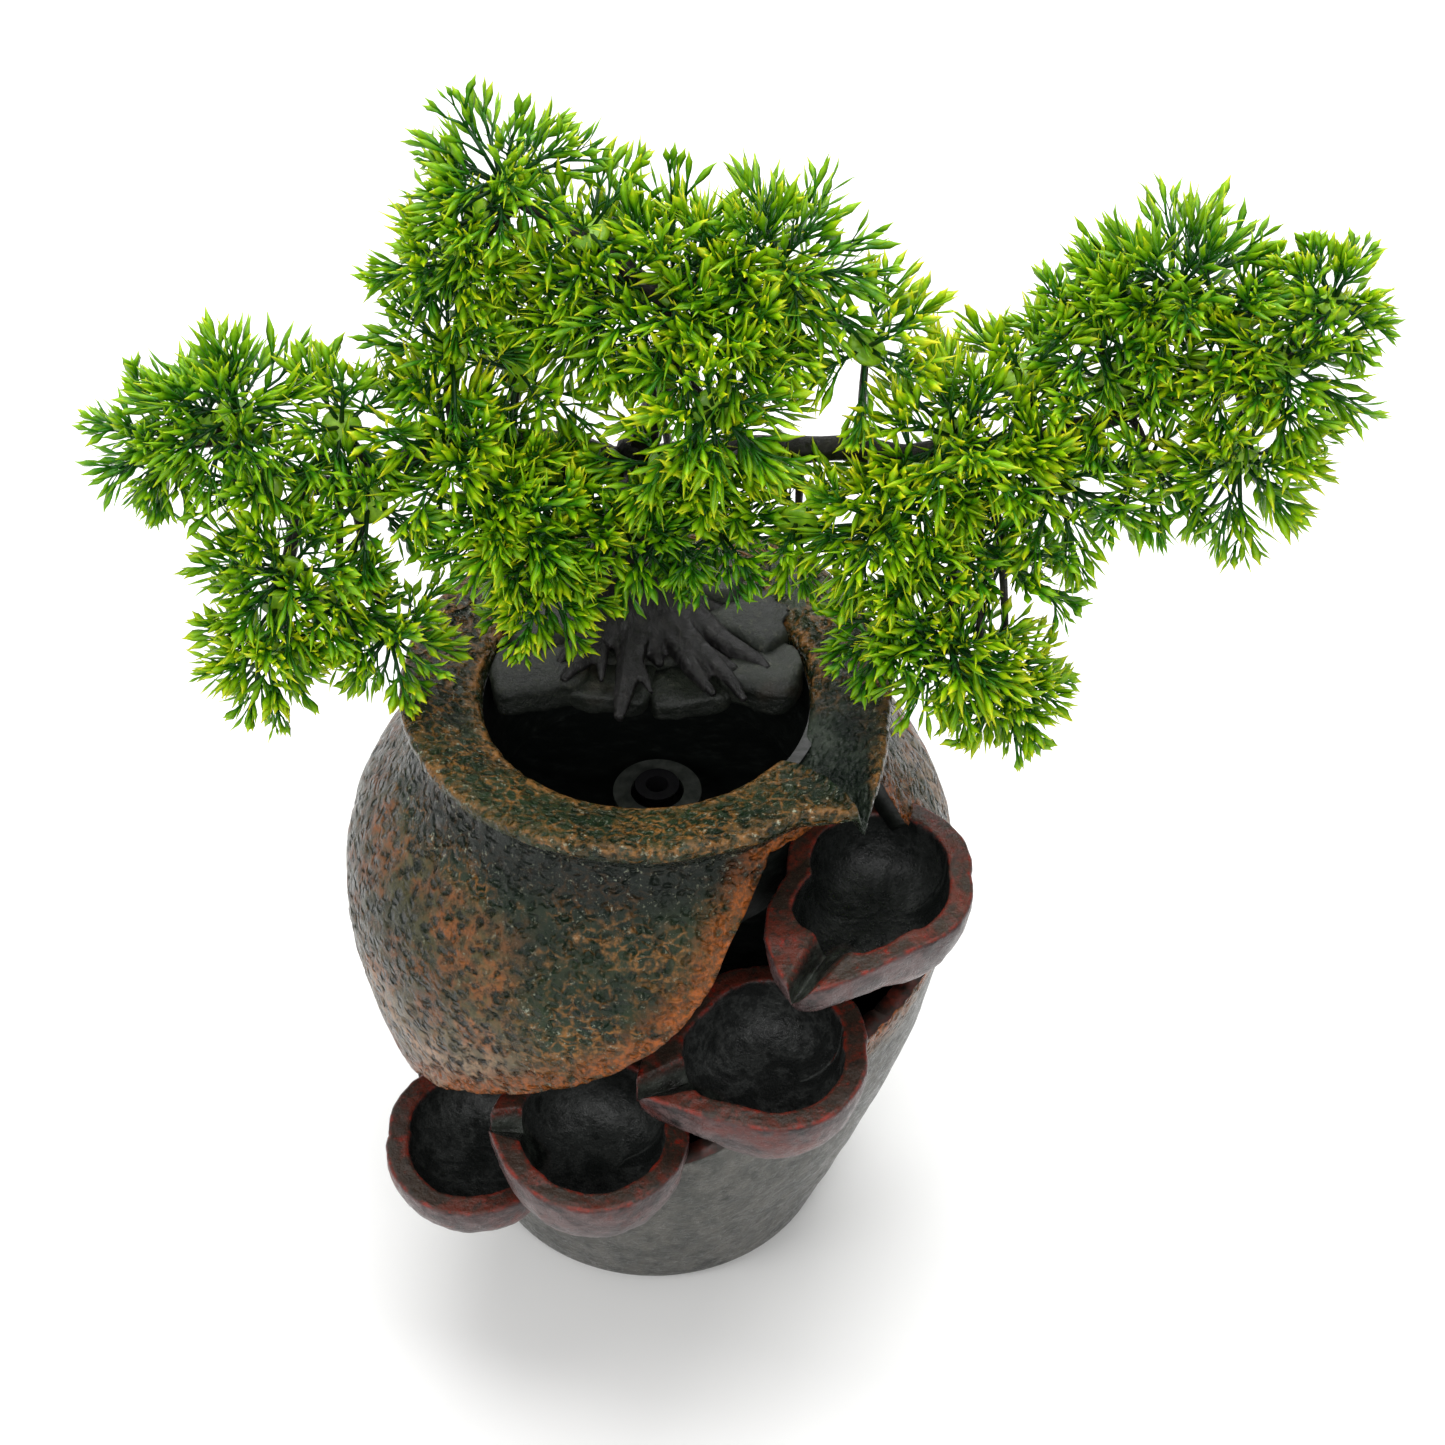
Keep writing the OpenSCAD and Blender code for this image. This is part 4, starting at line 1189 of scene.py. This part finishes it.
def sprig(hub, out, reach, seed, tint, fullness):
    """One sprig: stems fan out of the hub, fork twice and end in spear-shaped needles."""
    local = np.random.default_rng(seed)
    stems = int((6 + reach * 0.42) * fullness)
    k = np.arange(stems)
    tilt = np.arccos(1 - (k + 0.5) / stems * 1.5)
    turn = k * math.pi * (3 - math.sqrt(5)) + local.uniform(0, TAU)
    e1 = unit(np.cross(out, [0.2, 0.3, 1.0]))
    e2 = np.cross(out, e1)
    ray = (np.cos(tilt)[:, None] * out + np.sin(tilt)[:, None]
           * (np.cos(turn)[:, None] * e1 + np.sin(turn)[:, None] * e2))
    ray = unit(ray + local.normal(0, 0.12, (stems, 3)))
    length = reach * local.uniform(0.4, 0.7, stems)
    sag = np.array([0, 0, -1.0]) * local.uniform(0.0, 2.6, (stems, 1)) + local.normal(0, 0.8, (stems, 3))
    start = hub + ray * 2.5
    # each stem's tone: random, the sprig's tint, and painted light that makes stems pointing up lighter
    tone = local.uniform(-0.14, 0.14, stems) + 0.12 * ray[:, 2] + tint
    points, faces, along, shade = [], [], [], []

    def grow(begin, way, size, bend, width, rings, low, high, tones, flat):
        made, quads = spikes(begin, way, size, bend, width, rings, flat, local)
        faces.append(quads + sum(len(p) for p in points))
        points.append(made)
        far = np.linalg.norm(begin + way * size[:, None] - hub, axis=1) / reach
        # painted shade: needles that end near the hub, deep in the sprig, stay darker in along and in the
        # tint mark
        top = low + (high - low) * smooth(0.35, 1.0, far)
        along.append(np.repeat(low + (top - low)[:, None] * rings, 4))
        shade.append(np.repeat(tones - 0.16 * smooth(0.9, 0.3, far), 4 * len(rings)))

    width = np.repeat(STEM_WIDTH[None], stems, 0)
    grow(start, ray, length, sag, width, STEM_RINGS, 0.0, 0.3, tone, 0.9)
    places, ways, tones = [], [], []
    for share, angles in ((0.45, (-0.6, 0.6)), (0.74, (-0.48, 0.48)), (1.0, (-0.34, 0.0, 0.34))):
        place = start + ray * (length * share)[:, None] + sag * share**2
        where, way, same_tone = fan(place, ray, tone, angles, local)
        keep = local.uniform(size=len(where)) > 0.12
        places.append(where[keep])
        ways.append(way[keep])
        tones.append(same_tone[keep])
    place, way, tone2 = np.vstack(places), np.vstack(ways), np.concatenate(tones)
    size = reach * local.uniform(0.16, 0.25, len(place))
    flop = local.normal(0, 0.5, (len(place), 3))
    width = np.repeat(SIDE_WIDTH[None], len(place), 0)
    grow(place, way, size, flop, width, STEM_RINGS, 0.28, 0.48, tone2, 0.8)
    tip = place + way * size[:, None] + flop
    half = place + way * (size * 0.4)[:, None]
    where1, way1, tone3 = fan(tip, way, tone2, (-0.28, 0.24), local)
    some = local.uniform(size=len(half)) > 0.45
    where2, way2, tone4 = fan(half[some], way[some], tone2[some], (0.5,), local)
    place, way = np.vstack([where1, where2]), np.vstack([way1, way2])
    tone5 = np.r_[tone3, tone4] + local.uniform(-0.06, 0.06, len(place))
    size = np.clip(reach * 0.46, 10, 15) * local.uniform(0.75, 1.25, len(place))
    bend = local.normal(0, 0.9, (len(place), 3))
    width = NEEDLE_WIDTH[None] * local.uniform(0.75, 1.15, (len(place), 1))
    grow(place, way, size, bend, width, NEEDLE_RINGS, 0.44, 1.0, tone5, 0.36)
    points = np.vstack(points)
    over = np.linalg.norm(points - hub, axis=1)
    limit = reach + 3
    pull = np.where(over > limit, (limit + 0.5 * (over - limit)) / over, 1)
    points = hub + (points - hub) * pull[:, None]
    return points, np.vstack(faces), np.concatenate(along), np.concatenate(shade)


def filler_sprigs(hubs):
    """Smaller sprigs between neighbouring hubs, where the real masses run together."""
    fillers = []
    for one, (hub, out, radius, node) in enumerate(hubs):
        for other_hub, other_out, other_radius, _ in hubs[one + 1:]:
            middle = (hub + other_hub) / 2 + np.array([0, 0, 2.0])
            reach = radius + other_radius
            near = FILL_LEAST_GAP <= np.linalg.norm(hub - other_hub) <= reach * FILL_GAP
            if near and all(np.linalg.norm(f[0] - middle) >= FILL_SPACE for f in fillers):
                fillers.append((middle, unit(out + other_out), reach * FILL_SIZE, node))
    return fillers


hubs = []
for hub in centres_of_solids("sprig_hubs"):
    near = nearest_branch(hub)
    gap = np.linalg.norm(hub - near)
    out = unit((hub - near) / max(gap, 1) * min(gap / 12, 1) + np.array([0, -0.4, 0.55]))
    node_name, radius = ball_round(hub)
    hubs.append((hub, out, radius, node_name))
sprig_places = hubs + filler_sprigs(hubs)

for node_name in FOLIAGE:
    parts, total = [], 0
    for number, (hub, out, radius, owner) in enumerate(sprig_places):
        if owner == node_name:
            tint = rng.choice((0.05, 0.2, 0.35, 0.45, 0.5))
            points, faces, along, shade = sprig(hub, out, radius, number, tint,
                                                1.0 if number < len(hubs) else FILL_FULLNESS)
            parts.append((points, faces + total, along, shade))
            total += len(points)
    if parts:
        points, faces, along, shade = (np.concatenate(part) for part in zip(*parts))
        make_piece(node_name.replace("foliage", "sprigs"), points, faces, "tree", NEEDLE,
                   [node_name], {"along": along, "tint": shade})


def hub_discs():
    """The domed lime disc at the middle of each sprig."""
    bundle = Bundle()
    for hub, out, _, _ in sprig_places:
        path = np.array([hub + out * d for d in (-1.2, -0.6, 0.7, 1.4, 1.9)])
        bundle.add(*tube(path, [5.2, 6.5, 6.5, 5.0, 2.4], 20))
    bundle.piece("hub_discs", "hub", HUB, "sprig_hubs")


def twigs():
    """Thin covered wires from the branches to the sprigs' hubs."""
    bundle = Bundle()
    for hub, _, _, _ in sprig_places:
        near = nearest_branch(hub)
        middle = (near + hub) / 2 + np.array([rng.uniform(-2, 2), rng.uniform(-2, 2), rng.uniform(-1, 3)])
        bundle.add(*tube(spline([near, middle, hub], 12), np.linspace(1.7, 1.1, 12), 8))
    bundle.piece("twig_wires", "wire", WIRE, "twigs")


hub_discs()
twigs()

# ---------------- floor and light

FLOOR_HALF = 6.0
SKY = 0.4
LIT = Vector((0, 0, 0.2))
LIGHTS = {
    # name: place, width, height, power
    "top": ((0.1, 0.35, 1.7), 1.5, 1.5, 30),
    "strip": ((0.15, -1.3, 1.2), 1.5, 0.3, 11),
    "back": ((0.0, 1.3, 1.25), 1.4, 0.25, 9),
    "fill": ((-0.95, -0.7, 1.0), 0.5, 0.5, 5),
}


def studio():
    """A pale floor and soft light from above, from both sides of the camera and from behind."""
    mesh = bpy.data.meshes.new("floor")
    corners = [(x * FLOOR_HALF, y * FLOOR_HALF, 0) for x, y in ((-1, -1), (1, -1), (1, 1), (-1, 1))]
    mesh.from_pydata(corners, [], [(0, 1, 2, 3)])
    s = Shade("floor_paint")
    paint = s.blend(s.noise(3, 3), 0.3, 0.7, rgb(247, 247, 246), rgb(250, 250, 249))
    mesh.materials.append(s.finish(paint, 0.8))
    new_object("floor", mesh)
    world = bpy.data.worlds.new("studio")
    world.use_nodes = True
    background = world.node_tree.nodes["Background"]
    background.inputs["Color"].default_value = (1, 1, 1, 1)
    background.inputs["Strength"].default_value = SKY
    bpy.context.scene.world = world
    for name, (place, width, height, power) in LIGHTS.items():
        lamp = bpy.data.lights.new(name, "AREA")
        lamp.shape = "RECTANGLE"
        lamp.energy = power
        lamp.size = width
        lamp.size_y = height
        light = new_object(name, lamp)
        light.location = place
        light.rotation_euler = (LIT - Vector(place)).to_track_quat("-Z", "Y").to_euler()
    bpy.context.scene.view_settings.view_transform = "Standard"


studio()
